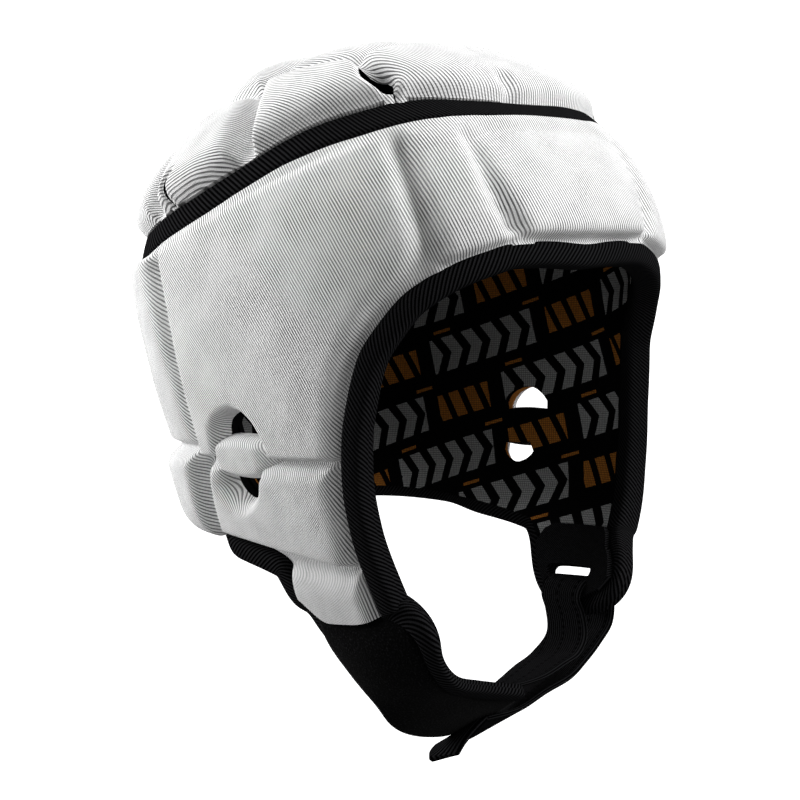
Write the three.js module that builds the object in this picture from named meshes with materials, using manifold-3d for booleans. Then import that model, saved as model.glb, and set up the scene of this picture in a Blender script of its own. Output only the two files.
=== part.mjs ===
// Soft shell football helmet: white padded panels on a black lining, bound edges and a chin strap.
// Millimetres, +Z up. The face looks along -Y and the wearer's left is +X.
import * as THREE from 'three';
import Module from 'manifold-3d';

const wasm = await Module();
wasm.setup();

// Head form: the mean outer surface of the padding, about the centre of its widest level
const HALF_WIDTH = 94;
const FRONT_REACH = 113;
const BACK_REACH = 106;
const CROWN_HEIGHT = 95.5;
const PLAN_POWER = 2.67;
const JAW_TAPER = 14;
const NECK_TAPER = 25;
const NECK_BEND = 1.4;
const TAPER_SPAN = 100;
// Outward shift of the left flap, which stands wider than the right one: height, shift of its front edge
const LEFT_SPLAY = [[-148, 11], [-130, 14.5], [-105, 19.5], [-85, 17.5], [-60, 11], [-40, 5], [-25, 1], [-15, 0]];
const SPLAY_TURN = { none: -118, full: -52 };
const LEAST_SHRINK = 1e-6;

// Heights of the layers off the head form, outward positive
const HIGHEST_TOP = 6;
const PAD_RIM = -4.5;
const PAD_ROOT = -8.7;
const GROOVE_FLOOR = -6;
const SHELL_INNER = -11;
const LINING_OUTER = -11.3;
const LINING_INNER = -13.3;
const TAPE_OUTER = -8.4;
const GAP = 0.3;
const BINDING_GAP = 0.5;
const TAB_EDGE_GAP = 0.9;
const DISH_SINK = 0.4;
const SLIT_SINK = 0.1;
const CUT_REACH = 6;

// Widths along the surface
const EDGE_ROLL = 7;
const MOST_ROLL_SHARE = 0.4;
const RIM_SHARE = 0.35;
const PAD_CLEARANCE = 1.5;
const PAD_ARCH = 2;
const SEAM_WIDTH = 10.4;
const BINDING_WIDTH = 8.5;
const HEM_WIDTH = { right: 9, left: 5.5 };
const FLAP_END_WIDTH = 6;
const TAB_EDGE_WIDTH = 5;
const BINDING_OUTER = -1.5;
const BINDING_INNER = -13;
const BINDING_ROUND = 2.2;
const SLOT_BINDING_OUTER = -5.5;
const TAB_EDGE_HALF = 3;

// Grid counts of the covers: columns from brow centre to face edge, flap and nape, rows down the head
const FRONT_COLUMNS = 4;
const SIDE_COLUMNS = 5;
const BACK_COLUMNS = 5;
const CROWN_ROWS = 4;
const BAND_ROWS = 3;
const CHEEK_ROWS = 7;
const FLAP_ROWS = 1;
const LOBE_ROWS = 2;
const CENTRE_LOBE_GRID = { across: 3, down: 1 };
const SEAM_EDGE_STEPS = 4;
const TAB_ROWS = 9;
const STRAP_ROWS = 28;
const PULL_ROWS = 6;

// Lower edge of the seam tape round the head: longitude from the brow, height up the head form
const SEAM_LINE = [
  [0, 62], [30, 60], [52, 50.5], [68, 43], [86, 32], [110, 18], [135, 7], [180, 3],
];
// Edge of the white panel: along the brow, down the face opening, and round the nape
const BROW_LINE = [[0, 5], [12, 6.3], [18, 6], [24, 3], [29, 0], [34, -4]];
const FACE_LINE = [
  [34, -4], [41, -12], [46, -22], [50.5, -33], [53.5, -48], [56, -66], [57, -86], [56, -104], [50, -136],
];
const HEM_LINE = [[84, -116], [94, -112], [112, -107], [150, -102], [180, -101]];
const RIGHT_END_LINE = [[50, -136], [60, -138.5], [68, -139], [80, -130]];
const LEFT_END_LINE = [[53, -122], [66, -126], [80, -123]];
const BAND_FACE_LONGITUDE = 41;
const BAND_REAR_LONGITUDE = 100;
const FLAP_REAR = { hem: 84, end: 80 };
const CHEEK_LEVEL = -4;

// Padded sections of the side band: outline columns are longitude and height, from top to bottom
const SIDE_PADS = [
  {
    name: 'forehead side',
    front: [[26.5, 58], [23.5, 30], [19, 7.5]],
    rear: [[40, 55], [37, 28], [33, -1]],
    tops: [-0.5, 1.5],
    across: 1,
    down: 2,
  },
  {
    name: 'temple and ear',
    front: [[43, 53], [39.5, 28], [38, 2], [48, -19], [55, -44], [58, -71.5]],
    rear: [[117, 11], [113, -14], [110, -46], [106.5, -71.5]],
    tops: [0.5, 0.5],
    across: 4,
    down: 4,
  },
  {
    name: 'jaw',
    front: [[59, -76], [58.5, -95], [57, -116.5]],
    rear: [[105.5, -76], [108, -90], [109, -105]],
    tops: [0.5, 0.5],
    across: 4,
    down: 1,
  },
];
const RIGHT_TOE_PAD = {
  front: [[55.5, -120], [52.5, -134]],
  rear: [[78.5, -119], [76, -131.5]],
  tops: [0.5, 0.5],
  across: 2,
  down: 1,
};
const MIDDLE_PADS = [
  { name: 'forehead', front: [[24.5, 59], [21.5, 30], [17, 8.5]], tops: [-3.5, 3.5], across: 3, down: 2 },
  {
    name: 'rear',
    front: [[122, 10], [117, -14], [114, -40], [111.5, -66]],
    tops: [3, -1.5],
    across: 6,
    down: 2,
  },
  { name: 'nape', front: [[111.5, -71], [113, -84], [114, -98]], tops: [3.5, 5], across: 5, down: 1 },
];

// Crown lobes: plan edges in millimetres, right side negative, and stretches of the crown's lower edge
const SIDE_LOBES = [
  { name: 'middle', top: [[-42, -27], [-46, -6], [-54, 14.5]], seam: [43, 83], tops: [3, 4], across: 3 },
  { name: 'rear', top: [[-56, 19], [-53, 38], [-48, 54]], seam: [89, 118], tops: [0, 5], across: 3 },
];
const END_LOBES = [
  { name: 'front', top: [[-39, -27], [0, -31], [39, -27]], seam: [39, -39], tops: [-2, 2.5], across: 5 },
  {
    name: 'back',
    top: [[-47, 58.5], [0, 59.5], [47, 58.5]],
    seam: [122, 238],
    tops: [-2, 6],
    across: 5,
  },
];
const CENTRE_LOBES = [
  { name: 'middle', top: [[-37, -23], [0, -26.5], [37, -23]], foot: [[-50, 14.5], [0, 15.5], [50, 14.5]] },
  { name: 'rear', top: [[-52, 19], [0, 20], [52, 19]], foot: [[-45, 53.5], [0, 54.5], [45, 53.5]] },
];
const LOBE_ROLL = 10;
const CENTRE_LOBE_TOP = 3;
const LOBE_MARGIN = 1.5;
const VENT_SLITS = [
  { name: 'front', ends: [[-43, -31], [-53, -59]], width: 6 },
  { name: 'rear', ends: [[-62, 53], [-80, 48.5]], width: 4 },
];

// Ear opening: centre, half sizes of the dished opening, and the bar that crosses it
const EAR_LONGITUDE = 89;
const EAR_HEIGHT = -71.5;
const EAR_DISH = { halfWidth: 18, halfHeight: 23.5 };
const EAR_HOLE = { halfWidth: 13.5, halfHeight: 20 };
const EAR_BAR = { front: 78.5, rear: 99.5, top: -65, bottom: -80, tops: [-0.5, -0.5] };
const BAR_MARGIN = 1;
const EAR_SIDES = 14;
const EAR_HOLE_SIDES = 6;
const EAR_SECTION = { front: 75, rear: 103.5, top: -47, bottom: -97 };

// Chin tab on the right flap: places of its front and rear edges, with its bow and thickness
const CHIN_TAB = [
  { front: [-53.7, -65, -141.2], rear: [-62, -20.5, -144], bow: 3, thickness: 6 },
  { front: [-46.2, -63, -154.4], rear: [-57, -27.5, -158], bow: 3, thickness: 5 },
  { front: [-36.3, -61, -164], rear: [-49, -31, -171], bow: 2, thickness: 4 },
  { front: [-20, -59, -169.5], rear: [-37, -31, -185], bow: 1, thickness: 4 },
  { front: [-6, -58.5, -173], rear: [-16, -33, -191], bow: 0.5, thickness: 4 },
  { front: [6, -58.5, -175.5], rear: [0, -35.5, -190], bow: 0.5, thickness: 3.5 },
];
// Chin strap: from the tab's upper face to the slot, out through it, and back down to its free end
const CHIN_STRAP = [
  { front: [-8, -55.5, -169], rear: [-14, -30, -185.5] },
  { front: [6, -56.5, -172], rear: [4, -31, -183] },
  { front: [20, -60, -170.5], rear: [18, -32, -177] },
  { front: [34, -60, -167], rear: [32, -31, -171.5] },
  { front: [47, -57.5, -164], rear: [45.5, -30, -167] },
  { front: [54, -55, -158], rear: [54, -31.5, -159] },
  { front: [55.5, -52.5, -149], rear: [56, -29.5, -149] },
  { front: [54.5, -51, -142.5], rear: [55.5, -28, -142.5] },
  { front: [58.5, -50.5, -137.6], rear: [58.5, -27, -137.6] },
  { front: [70, -50.5, -136.6], rear: [69, -25.5, -136.6] },
  { front: [77, -50, -139.5], rear: [76, -25, -139.5] },
  { front: [78.2, -50, -147], rear: [77.2, -25, -147] },
  { front: [76, -50.5, -156], rear: [75.5, -25.5, -157] },
  { front: [67, -51, -164], rear: [67, -26, -166] },
  { front: [56, -53, -169.5], rear: [55.5, -28, -172.5] },
  { front: [43, -56, -173.8], rear: [42, -31, -178.8] },
  { front: [28, -55.5, -177.5], rear: [26.5, -31, -186] },
  { front: [12, -54, -182.4], rear: [8, -30, -195.9] },
  { front: [-4, -51.5, -183.5], rear: [-12, -28.5, -198] },
];
const PULL_TAB = [
  { front: [-5.1, -51.3, -183.7], rear: [-13.1, -28.3, -198.2] },
  { front: [-8.5, -50, -186.5], rear: [-15.5, -28.5, -199.5] },
  { front: [-12.5, -47, -192], rear: [-17.5, -29.5, -200.5] },
  { front: [-15, -44.5, -198], rear: [-19.5, -31.5, -201] },
];
const TAB_BOW_SIDE = [-1, 0, -0.4];
const TAB_OUTER = -4.5;
const STRAP_THICKNESS = 2.2;
const PULL_THICKNESS = 3;

// Slot tab in the left flap: rows from its sewn top inside the flap to its rounded end
const SLOT_TAB = [
  { front: 56, rear: 73, v: -118.5, outer: -13.6 },
  { front: 54, rear: 76, v: -121, outer: -13.6 },
  { front: 51.5, rear: 77.5, v: -126.8, outer: -13.6 },
  { front: 50.5, rear: 77.5, v: -127.2, outer: -10 },
  { front: 46, rear: 76, v: -132, outer: -10 },
  { front: 42.5, rear: 73, v: -138, outer: -10 },
  { front: 43.5, rear: 68, v: -144, outer: -10 },
  { front: 50, rear: 60, v: -148.5, outer: -10 },
];
const SLOT_TAB_INNER = -16;
const SLOT_TAB_COLUMNS = 5;
const SLOT_TAB_BOUND_ROW = 3;
const SLOT = { y: -38, halfLength: 14, z: -137.4, halfHeight: 3, inner: 40, outer: 90 };

const SEAT_HEIGHT = CROWN_HEIGHT + LINING_INNER;
const CROWN_V = CROWN_HEIGHT * Math.PI / 2;
const MM_PER_DEGREE = 1.6;

const COLOURS = { white: 0xf2f2f0, black: 0x101012, webbing: 0x16161a };

// Piecewise straight table lookup
function lookup(table, x, from = 0, to = 1) {
  const rising = table[0][from] < table[table.length - 1][from];
  const rows = rising ? table : [...table].reverse();
  let k = 0;
  while (k < rows.length - 2 && x > rows[k + 1][from]) k += 1;
  const share = THREE.MathUtils.clamp((x - rows[k][from]) / (rows[k + 1][from] - rows[k][from]), 0, 1);
  return THREE.MathUtils.lerp(rows[k][to], rows[k + 1][to], share);
}

// Level of a point: 1 on the head form, less inside
function formLevel(p) {
  const drop = Math.max(-p.z, 0) / TAPER_SPAN;
  const side = HALF_WIDTH - JAW_TAPER * drop ** 2;
  const reach = p.y < 0 ? FRONT_REACH : BACK_REACH - NECK_TAPER * drop ** NECK_BEND;
  const across = (Math.abs(p.x) / side) ** PLAN_POWER;
  const along = (Math.abs(p.y) / reach) ** PLAN_POWER;
  return Math.hypot((across + along) ** (1 / PLAN_POWER), Math.max(p.z, 0) / CROWN_HEIGHT);
}

function formNormal(p) {
  const step = 0.05;
  const slope = ['x', 'y', 'z'].map((axis) => {
    const ahead = p.clone();
    const behind = p.clone();
    ahead[axis] += step;
    behind[axis] -= step;
    return formLevel(ahead) - formLevel(behind);
  });
  return new THREE.Vector3(...slope).normalize();
}

// Point of the head form at a longitude from the brow and a height up its meridian
function formPoint(longitude, v) {
  const turn = THREE.MathUtils.degToRad(longitude);
  const shrink = v > 0 ? Math.max(Math.cos(v / CROWN_HEIGHT), LEAST_SHRINK) : 1;
  const ray = new THREE.Vector3(-Math.sin(turn), -Math.cos(turn), 0);
  const foot = new THREE.Vector3(ray.x, ray.y, Math.min(v, 0));
  const plan = shrink / formLevel(foot);
  return new THREE.Vector3(ray.x * plan, ray.y * plan, v > 0 ? CROWN_HEIGHT * Math.sin(v / CROWN_HEIGHT) : v);
}

function flapSplay(longitude, v) {
  const left = THREE.MathUtils.euclideanModulo(longitude, 360) - 360;
  const aside = THREE.MathUtils.smoothstep(left, SPLAY_TURN.none, SPLAY_TURN.full);
  return aside * lookup(LEFT_SPLAY, v);
}

function place(longitude, v, height) {
  const p = formPoint(longitude, v);
  p.addScaledVector(formNormal(p), height);
  p.x += flapSplay(longitude, v);
  return p;
}

function layered(longitude, v, outer, inner) {
  return { outer: place(longitude, v, outer), inner: place(longitude, v, inner), longitude, v };
}

// Chart place of a plan point on the crown
function crownPlace([x, y]) {
  const level = formLevel(new THREE.Vector3(x, y, 0));
  return [THREE.MathUtils.radToDeg(Math.atan2(-x, -y)), CROWN_HEIGHT * Math.acos(Math.min(level, 1))];
}

// Lower edge of the seam tape, and of the crown above it, at any longitude
function seamLow(longitude) {
  const turn = THREE.MathUtils.euclideanModulo(longitude + 180, 360) - 180;
  return lookup(SEAM_LINE, Math.abs(turn));
}

const crownFoot = (longitude) => seamLow(longitude) + SEAM_WIDTH + 2 * GAP;

// Closed solid from vertices and triangles, turned outward
function solidFrom(points, triangles) {
  const volume = triangles.reduce((sum, [a, b, c]) => (
    sum + points[a].dot(new THREE.Vector3().crossVectors(points[b], points[c]))), 0);
  const outward = volume > 0 ? triangles : triangles.map(([a, b, c]) => [a, c, b]);
  return new wasm.Manifold(new wasm.Mesh({
    numProp: 3,
    vertProperties: new Float32Array(points.flatMap((p) => [p.x, p.y, p.z])),
    triVerts: new Uint32Array(outward.flat()),
  }));
}

// Thick sheet over a set of quads whose corners hold an outer and an inner point
function thickSheet(quads) {
  const numbers = new Map();
  const points = [];
  const triangles = [];
  const border = new Map();
  const numberOf = (corner) => {
    if (!numbers.has(corner)) {
      numbers.set(corner, points.length);
      points.push(corner.outer, corner.inner);
    }
    return numbers.get(corner);
  };
  for (const quad of quads) {
    const ring = quad.filter((corner, k) => corner !== quad[(k + 1) % quad.length]).map(numberOf);
    for (let k = 1; k < ring.length - 1; k += 1) {
      triangles.push([ring[0], ring[k], ring[k + 1]], [ring[0] + 1, ring[k + 1] + 1, ring[k] + 1]);
    }
    ring.forEach((a, k) => {
      const b = ring[(k + 1) % ring.length];
      if (!border.delete(`${b} ${a}`)) border.set(`${a} ${b}`, [a, b]);
    });
  }
  for (const [a, b] of border.values()) triangles.push([b, a, a + 1], [b, a + 1, b + 1]);
  return solidFrom(points, triangles);
}

// Quads of a grid of corners, given as rows of equal length
function gridQuads(rows) {
  return rows.slice(1).flatMap((row, j) => (
    row.slice(1).map((corner, i) => [rows[j][i], rows[j][i + 1], corner, row[i]])));
}

// Closed bar through rows of section points
function loftedBar(rows) {
  const count = rows[0].length;
  const points = rows.flat();
  const triangles = [];
  for (let j = 0; j < rows.length - 1; j += 1) {
    for (let i = 0; i < count; i += 1) {
      const a = j * count + i;
      const b = j * count + (i + 1) % count;
      triangles.push([a, b, b + count], [a, b + count, a + count]);
    }
  }
  const last = (rows.length - 1) * count;
  for (let i = 1; i < count - 1; i += 1) {
    triangles.push([0, i + 1, i], [last, last + i, last + i + 1]);
  }
  return solidFrom(points, triangles);
}

// Cover grid: column 0 to 3 runs brow centre, face edge, flap rear, nape.
// Level -2 to 3 runs crown's apex, crown foot, seam, brow, hem, flap end.
function coverColumn(column, level, side, endLine) {
  const cheek = THREE.MathUtils.lerp(CHEEK_LEVEL, HEM_LINE[0][1], THREE.MathUtils.clamp(level - 1, 0, 1));
  const low = THREE.MathUtils.clamp(level - 2, 0, 1);
  const faceV = THREE.MathUtils.lerp(cheek, endLine[0][1], low);
  const band = THREE.MathUtils.clamp(level, 0, 1);
  const face = level < 1
    ? THREE.MathUtils.lerp(BAND_FACE_LONGITUDE, FACE_LINE[0][0], band)
    : lookup(FACE_LINE, faceV, 1, 0);
  const flap = level < 2
    ? THREE.MathUtils.lerp(BAND_REAR_LONGITUDE, FLAP_REAR.hem, Math.max(level, 0) / 2)
    : THREE.MathUtils.lerp(FLAP_REAR.hem, FLAP_REAR.end, low);
  const guides = [0, face, flap, 180];
  const k = Math.min(Math.floor(column), 2);
  return side * THREE.MathUtils.lerp(guides[k], guides[k + 1], column - k);
}

function coverHeight(longitude, column, level, endLine) {
  const turn = Math.abs(longitude);
  if (level <= -1) return THREE.MathUtils.lerp(CROWN_V, crownFoot(longitude), level + 2);
  if (level <= 0) return THREE.MathUtils.lerp(crownFoot(longitude), seamLow(longitude), level + 1);
  if (level <= 1) {
    const brow = column < 1 ? lookup(BROW_LINE, turn) : CHEEK_LEVEL;
    return THREE.MathUtils.lerp(seamLow(longitude), brow, level);
  }
  const hem = column <= 2 ? HEM_LINE[0][1] : lookup(HEM_LINE, turn);
  if (level <= 2) return THREE.MathUtils.lerp(CHEEK_LEVEL, hem, level - 1);
  return THREE.MathUtils.lerp(hem, lookup(endLine, turn), level - 2);
}

function steps(from, to, count) {
  return Array.from({ length: count + 1 }, (_, k) => from + (to - from) * k / count);
}

// All columns round the head from the nape's middle over the right side, the brow and the left side
const HALF_COLUMNS = [
  ...steps(0, 1, FRONT_COLUMNS),
  ...steps(1, 2, SIDE_COLUMNS).slice(1),
  ...steps(2, 3, BACK_COLUMNS).slice(1),
];
const COLUMNS = [
  ...[...HALF_COLUMNS].reverse().map((column) => ({ column, side: 1 })),
  ...HALF_COLUMNS.slice(1).map((column) => ({ column, side: -1 })),
];

const LEVELS = [
  ...steps(-2, -1, CROWN_ROWS),
  ...steps(0, 1, BAND_ROWS),
  ...steps(1, 2, CHEEK_ROWS).slice(1),
  ...steps(2, 3, FLAP_ROWS).slice(1),
];

function coverPlace({ column, side }, level) {
  const endLine = side > 0 ? RIGHT_END_LINE : LEFT_END_LINE;
  const longitude = coverColumn(column, level, side, endLine);
  return [longitude, coverHeight(longitude, column, level, endLine)];
}

// Sheet over the cover grid between two levels
function cover(from, to, outer, inner) {
  const levels = LEVELS.filter((level) => level >= from && level <= to);
  const corners = new Map();
  const cornerAt = (spot, level) => {
    const side = spot.column % 3 ? spot.side : 0;
    const name = level === LEVELS[0] ? 'apex' : `${side} ${spot.column} ${level}`;
    if (!corners.has(name)) corners.set(name, layered(...coverPlace(spot, level), outer, inner));
    return corners.get(name);
  };
  const kept = (a, b, low) => {
    const [least, most] = [Math.min(a.column, b.column), Math.max(a.column, b.column)];
    return low <= 1 || (least >= 1 && (low <= 2 || most <= 2));
  };
  const quads = levels.slice(1).flatMap((low, j) => COLUMNS.slice(1).flatMap((b, i) => {
    const a = COLUMNS[i];
    const high = levels[j];
    if (!kept(a, b, low)) return [];
    return [[cornerAt(a, high), cornerAt(b, high), cornerAt(b, low), cornerAt(a, low)]];
  }));
  return thickSheet(quads);
}

// Padded section with rolled edges inside four boundary curves of chart places
function chartCurve(points) {
  const scale = new THREE.Vector3(MM_PER_DEGREE, 1, 1);
  const stops = points.map(([longitude, v]) => new THREE.Vector3(longitude, v, 0).multiply(scale));
  const curve = new THREE.CatmullRomCurve3(stops);
  return (share) => curve.getPoint(share).divide(scale);
}

function rollLines(length, inside, edgeRoll) {
  const roll = Math.min(edgeRoll / length, MOST_ROLL_SHARE);
  const rim = roll * RIM_SHARE;
  return [0, rim, ...steps(roll, 1 - roll, inside), 1 - rim, 1];
}

function pad({ front, rear, top, foot }, tops, across, down, edgeRoll = EDGE_ROLL) {
  const [west, east] = [chartCurve(front), chartCurve(rear)];
  const [head, base] = [
    chartCurve(top ?? [front[0], rear[0]]),
    chartCurve(foot ?? [front[front.length - 1], rear[rear.length - 1]]),
  ];
  const chartPlace = (s, t) => {
    const ruled = west(t).lerp(east(t), s).add(head(s).lerp(base(s), t));
    return ruled.sub(head(0).lerp(head(1), s).lerp(base(0).lerp(base(1), s), t));
  };
  const span = (a, b) => place(a.x, a.y, 0).distanceTo(place(b.x, b.y, 0));
  const centre = chartPlace(0.5, 0.5);
  const width = span(chartPlace(0, 0.5), centre) + span(centre, chartPlace(1, 0.5));
  const length = span(chartPlace(0.5, 0), centre) + span(centre, chartPlace(0.5, 1));
  const rows = rollLines(length, down, edgeRoll).map((t) => rollLines(width, across, edgeRoll).map((s) => {
    const inset = Math.min(s * width, (1 - s) * width, t * length, (1 - t) * length);
    const roll = Math.sqrt(1 - (1 - Math.min(inset / edgeRoll, 1)) ** 2);
    const chart = chartPlace(s, t);
    const padTop = THREE.MathUtils.lerp(tops[0], tops[1], t);
    return layered(chart.x, chart.y, THREE.MathUtils.lerp(PAD_RIM, padTop, roll), PAD_ROOT);
  }));
  return thickSheet(gridQuads(rows));
}

const mirrored = (points) => points.map(([longitude, v]) => [-longitude, v]);
const joined = (solids) => solids.reduce((whole, solid) => whole.add(solid));

// Prism through the wall over an oval or a slot in the chart
function wallPrism(chartPoints, low, high) {
  const rows = [low, high].map((height) => chartPoints.map(([longitude, v]) => place(longitude, v, height)));
  return loftedBar(rows);
}

function ovalPoints(side, { halfWidth, halfHeight }, turns) {
  return turns.map((turn) => {
    const longitude = EAR_LONGITUDE + halfWidth / MM_PER_DEGREE * Math.cos(turn);
    return [side * longitude, EAR_HEIGHT + halfHeight * Math.sin(turn)];
  });
}

// Upper and lower holes of an ear opening, either side of its bar
function earHoles(side) {
  const turnAt = (v) => Math.asin((v - EAR_HEIGHT) / EAR_HOLE.halfHeight);
  const [high, low] = [turnAt(EAR_BAR.top + BAR_MARGIN), turnAt(EAR_BAR.bottom - BAR_MARGIN)];
  const arcs = [[high, Math.PI - high], [Math.PI - low, 2 * Math.PI + low]];
  return arcs.map(([from, to]) => {
    const points = ovalPoints(side, EAR_HOLE, steps(from, to, EAR_HOLE_SIDES));
    return wallPrism(points, LINING_INNER - CUT_REACH, HIGHEST_TOP + CUT_REACH);
  });
}

// Block of the wall round an ear opening, which is a section of its own
function earSection(side, margin) {
  const { front, rear, top, bottom } = EAR_SECTION;
  const turn = margin / MM_PER_DEGREE;
  const corners = [
    [front - turn, top + margin], [rear + turn, top + margin],
    [rear + turn, bottom - margin], [front - turn, bottom - margin],
  ];
  const points = corners.map(([longitude, v]) => [side * longitude, v]);
  return wallPrism(points, LINING_INNER - CUT_REACH, HIGHEST_TOP + CUT_REACH);
}

function sidePanel() {
  const ears = [1, -1];
  const pads = ears.flatMap((side) => {
    const turned = (points) => (side > 0 ? points : mirrored(points));
    const own = side > 0 ? [...SIDE_PADS, RIGHT_TOE_PAD] : SIDE_PADS;
    return own.map(({ front, rear, tops, across, down }) => (
      pad({ front: turned(front), rear: turned(rear) }, tops, across, down)));
  });
  const middle = MIDDLE_PADS.map(({ front, tops, across, down }) => {
    const rear = front.map(([longitude, v]) => [longitude > 90 ? 360 - longitude : -longitude, v]);
    const centre = (front[0][0] + rear[0][0]) / 2;
    const arch = Math.min(seamLow(centre) - PAD_CLEARANCE, front[0][1] + PAD_ARCH);
    const top = front[0][1] > 0 ? [front[0], [centre, arch], rear[0]] : undefined;
    return pad({ front, rear, top }, tops, across, down);
  });
  const around = steps(0, 2 * Math.PI, EAR_SIDES).slice(1);
  const dishes = ears.map((side) => (
    wallPrism(ovalPoints(side, EAR_DISH, around), GROOVE_FLOOR - DISH_SINK, HIGHEST_TOP + CUT_REACH)));
  const bars = ears.map((side) => {
    const edge = (longitude) => [[side * longitude, EAR_BAR.top], [side * longitude, EAR_BAR.bottom]];
    return pad({ front: edge(EAR_BAR.front), rear: edge(EAR_BAR.rear) }, EAR_BAR.tops, 1, 1);
  });
  const band = cover(0, 3, GROOVE_FLOOR, SHELL_INNER);
  const padded = dishes.reduce((whole, dish) => whole.subtract(dish), joined([...pads, ...middle]));
  const holes = ears.flatMap(earHoles);
  return holes.reduce((whole, hole) => whole.subtract(hole), joined([band, padded, ...bars]));
}

function crownPanel() {
  const sides = SIDE_LOBES.flatMap(({ top, seam, tops, across }) => {
    const [head, foot] = [top.map(crownPlace), seamEdge(seam)];
    return [seamLobe(head, foot, tops, across), seamLobe(mirrored(head), mirrored(foot), tops, across)];
  });
  const ends = END_LOBES.map(({ top, seam, tops, across }) => {
    const onward = (longitude) => (longitude < 0 && seam[1] > 180 ? longitude + 360 : longitude);
    const head = top.map(crownPlace).map(([longitude, v]) => [onward(longitude), v]);
    return seamLobe(head, seamEdge(seam), tops, across);
  });
  const centres = CENTRE_LOBES.map(centreLobe);
  const slits = VENT_SLITS.flatMap(ventSlit);
  const base = cover(-2, -1, GROOVE_FLOOR, SHELL_INNER);
  return slits.reduce((whole, slit) => whole.subtract(slit), joined([base, ...sides, ...ends, ...centres]));
}

// Places along a stretch of the crown's lower edge
function seamEdge([from, to]) {
  return steps(from, to, SEAM_EDGE_STEPS).map((longitude) => [longitude, crownFoot(longitude) + LOBE_MARGIN]);
}

// Lobe that reaches down to the seam tape
function seamLobe(head, foot, tops, across) {
  const last = head.length - 1;
  const sides = { front: [head[0], foot[0]], rear: [head[last], foot[foot.length - 1]] };
  return pad({ ...sides, top: head, foot }, tops, across, LOBE_ROWS, LOBE_ROLL);
}

// Lobe on the crown's middle, ruled straight in plan between its front and rear edges
function centreLobe({ top, foot }) {
  const [head, base] = [top, foot].map((points) => (
    new THREE.CatmullRomCurve3(points.map(([x, y]) => new THREE.Vector3(x, y, 0)))));
  const width = head.getLength();
  const length = head.getPoint(0.5).distanceTo(base.getPoint(0.5));
  const { across, down } = CENTRE_LOBE_GRID;
  const rows = rollLines(length, down, LOBE_ROLL).map((t) => rollLines(width, across, LOBE_ROLL).map((s) => {
    const inset = Math.min(s * width, (1 - s) * width, t * length, (1 - t) * length);
    const roll = Math.sqrt(1 - (1 - Math.min(inset / LOBE_ROLL, 1)) ** 2);
    const chart = crownPlace(head.getPoint(s).lerp(base.getPoint(s), t).toArray());
    return layered(...chart, THREE.MathUtils.lerp(PAD_RIM, CENTRE_LOBE_TOP, roll), PAD_ROOT);
  }));
  return thickSheet(gridQuads(rows));
}

// Pointed vent slit on each side of the crown
function ventSlit({ ends, width }) {
  const [a, b] = ends.map(([x, y]) => new THREE.Vector2(x, y));
  const middle = a.clone().lerp(b, 0.5);
  const aside = new THREE.Vector2(a.y - b.y, b.x - a.x).setLength(width / 2);
  const corners = [a, middle.clone().add(aside), b, middle.clone().sub(aside)];
  const outline = corners.map((p) => crownPlace(p.toArray()));
  return [outline, mirrored(outline)].map((points) => (
    wallPrism(points, SHELL_INNER - SLIT_SINK, HIGHEST_TOP + CUT_REACH)));
}

function lining() {
  const sheet = cover(-2, 3, LINING_OUTER, LINING_INNER);
  return [1, -1].flatMap(earHoles).reduce((whole, hole) => whole.subtract(hole), sheet);
}

function seamTape() {
  const rows = COLUMNS.slice(1).map(({ column, side }) => {
    const longitude = coverColumn(column, 0, side, RIGHT_END_LINE);
    const low = seamLow(longitude) + GAP;
    const lines = [low, low + SEAM_WIDTH / 2, low + SEAM_WIDTH];
    return lines.map((v) => layered(longitude, v, TAPE_OUTER, SHELL_INNER));
  });
  return thickSheet(gridQuads([...rows, rows[0]]));
}

// Sheet through rows of edge places, smooth along its length
function ribbon(rows, across, pieces) {
  const columns = steps(0, 1, across).map((share) => (
    new THREE.CatmullRomCurve3(rows.map((row) => row.at(share)))));
  const grid = steps(0, 1, pieces).map((along) => columns.map((column) => column.getPoint(along)));
  const thickness = (along) => {
    const k = Math.min(Math.floor(along * (rows.length - 1)), rows.length - 2);
    return THREE.MathUtils.lerp(rows[k].thickness, rows[k + 1].thickness, along * (rows.length - 1) - k);
  };
  return grid.map((line, j) => line.map((p, i) => {
    const along = grid[Math.min(j + 1, pieces)][i].clone().sub(grid[Math.max(j - 1, 0)][i]);
    const over = line[Math.min(i + 1, across)].clone().sub(line[Math.max(i - 1, 0)]);
    const normal = j === 0 && rows[0].normalAt ? rows[0].normalAt(i / across) : over.cross(along).normalize();
    const half = thickness(j / pieces) / 2;
    return {
      outer: p.clone().addScaledVector(normal, half),
      inner: p.clone().addScaledVector(normal, -half),
      middle: p,
      normal,
    };
  }));
}

// Row of a ribbon: from its front edge to its rear edge, bowed outward between them
function edgeRow({ front, rear, bow = 0, thickness }) {
  const [a, b] = [new THREE.Vector3(...front), new THREE.Vector3(...rear)];
  const out = new THREE.Vector3(...TAB_BOW_SIDE).normalize();
  const lift = (share) => bow * 4 * share * (1 - share);
  return { thickness, at: (share) => a.clone().lerp(b, share).addScaledVector(out, lift(share)) };
}

function chinTabGrid() {
  const chart = (share) => {
    const longitude = THREE.MathUtils.lerp(RIGHT_END_LINE[0][0], FLAP_REAR.end, share);
    return [longitude, lookup(RIGHT_END_LINE, longitude) - 2 * GAP];
  };
  const sewn = {
    thickness: TAB_OUTER - LINING_INNER,
    at: (share) => place(...chart(share), (LINING_INNER + TAB_OUTER) / 2),
    normalAt: (share) => formNormal(formPoint(...chart(share))),
  };
  return ribbon([sewn, ...CHIN_TAB.map(edgeRow)], SIDE_COLUMNS, TAB_ROWS);
}

function strapSolid(table, thickness, pieces) {
  return thickSheet(gridQuads(ribbon(table.map((row) => edgeRow({ ...row, thickness })), 1, pieces)));
}

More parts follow.
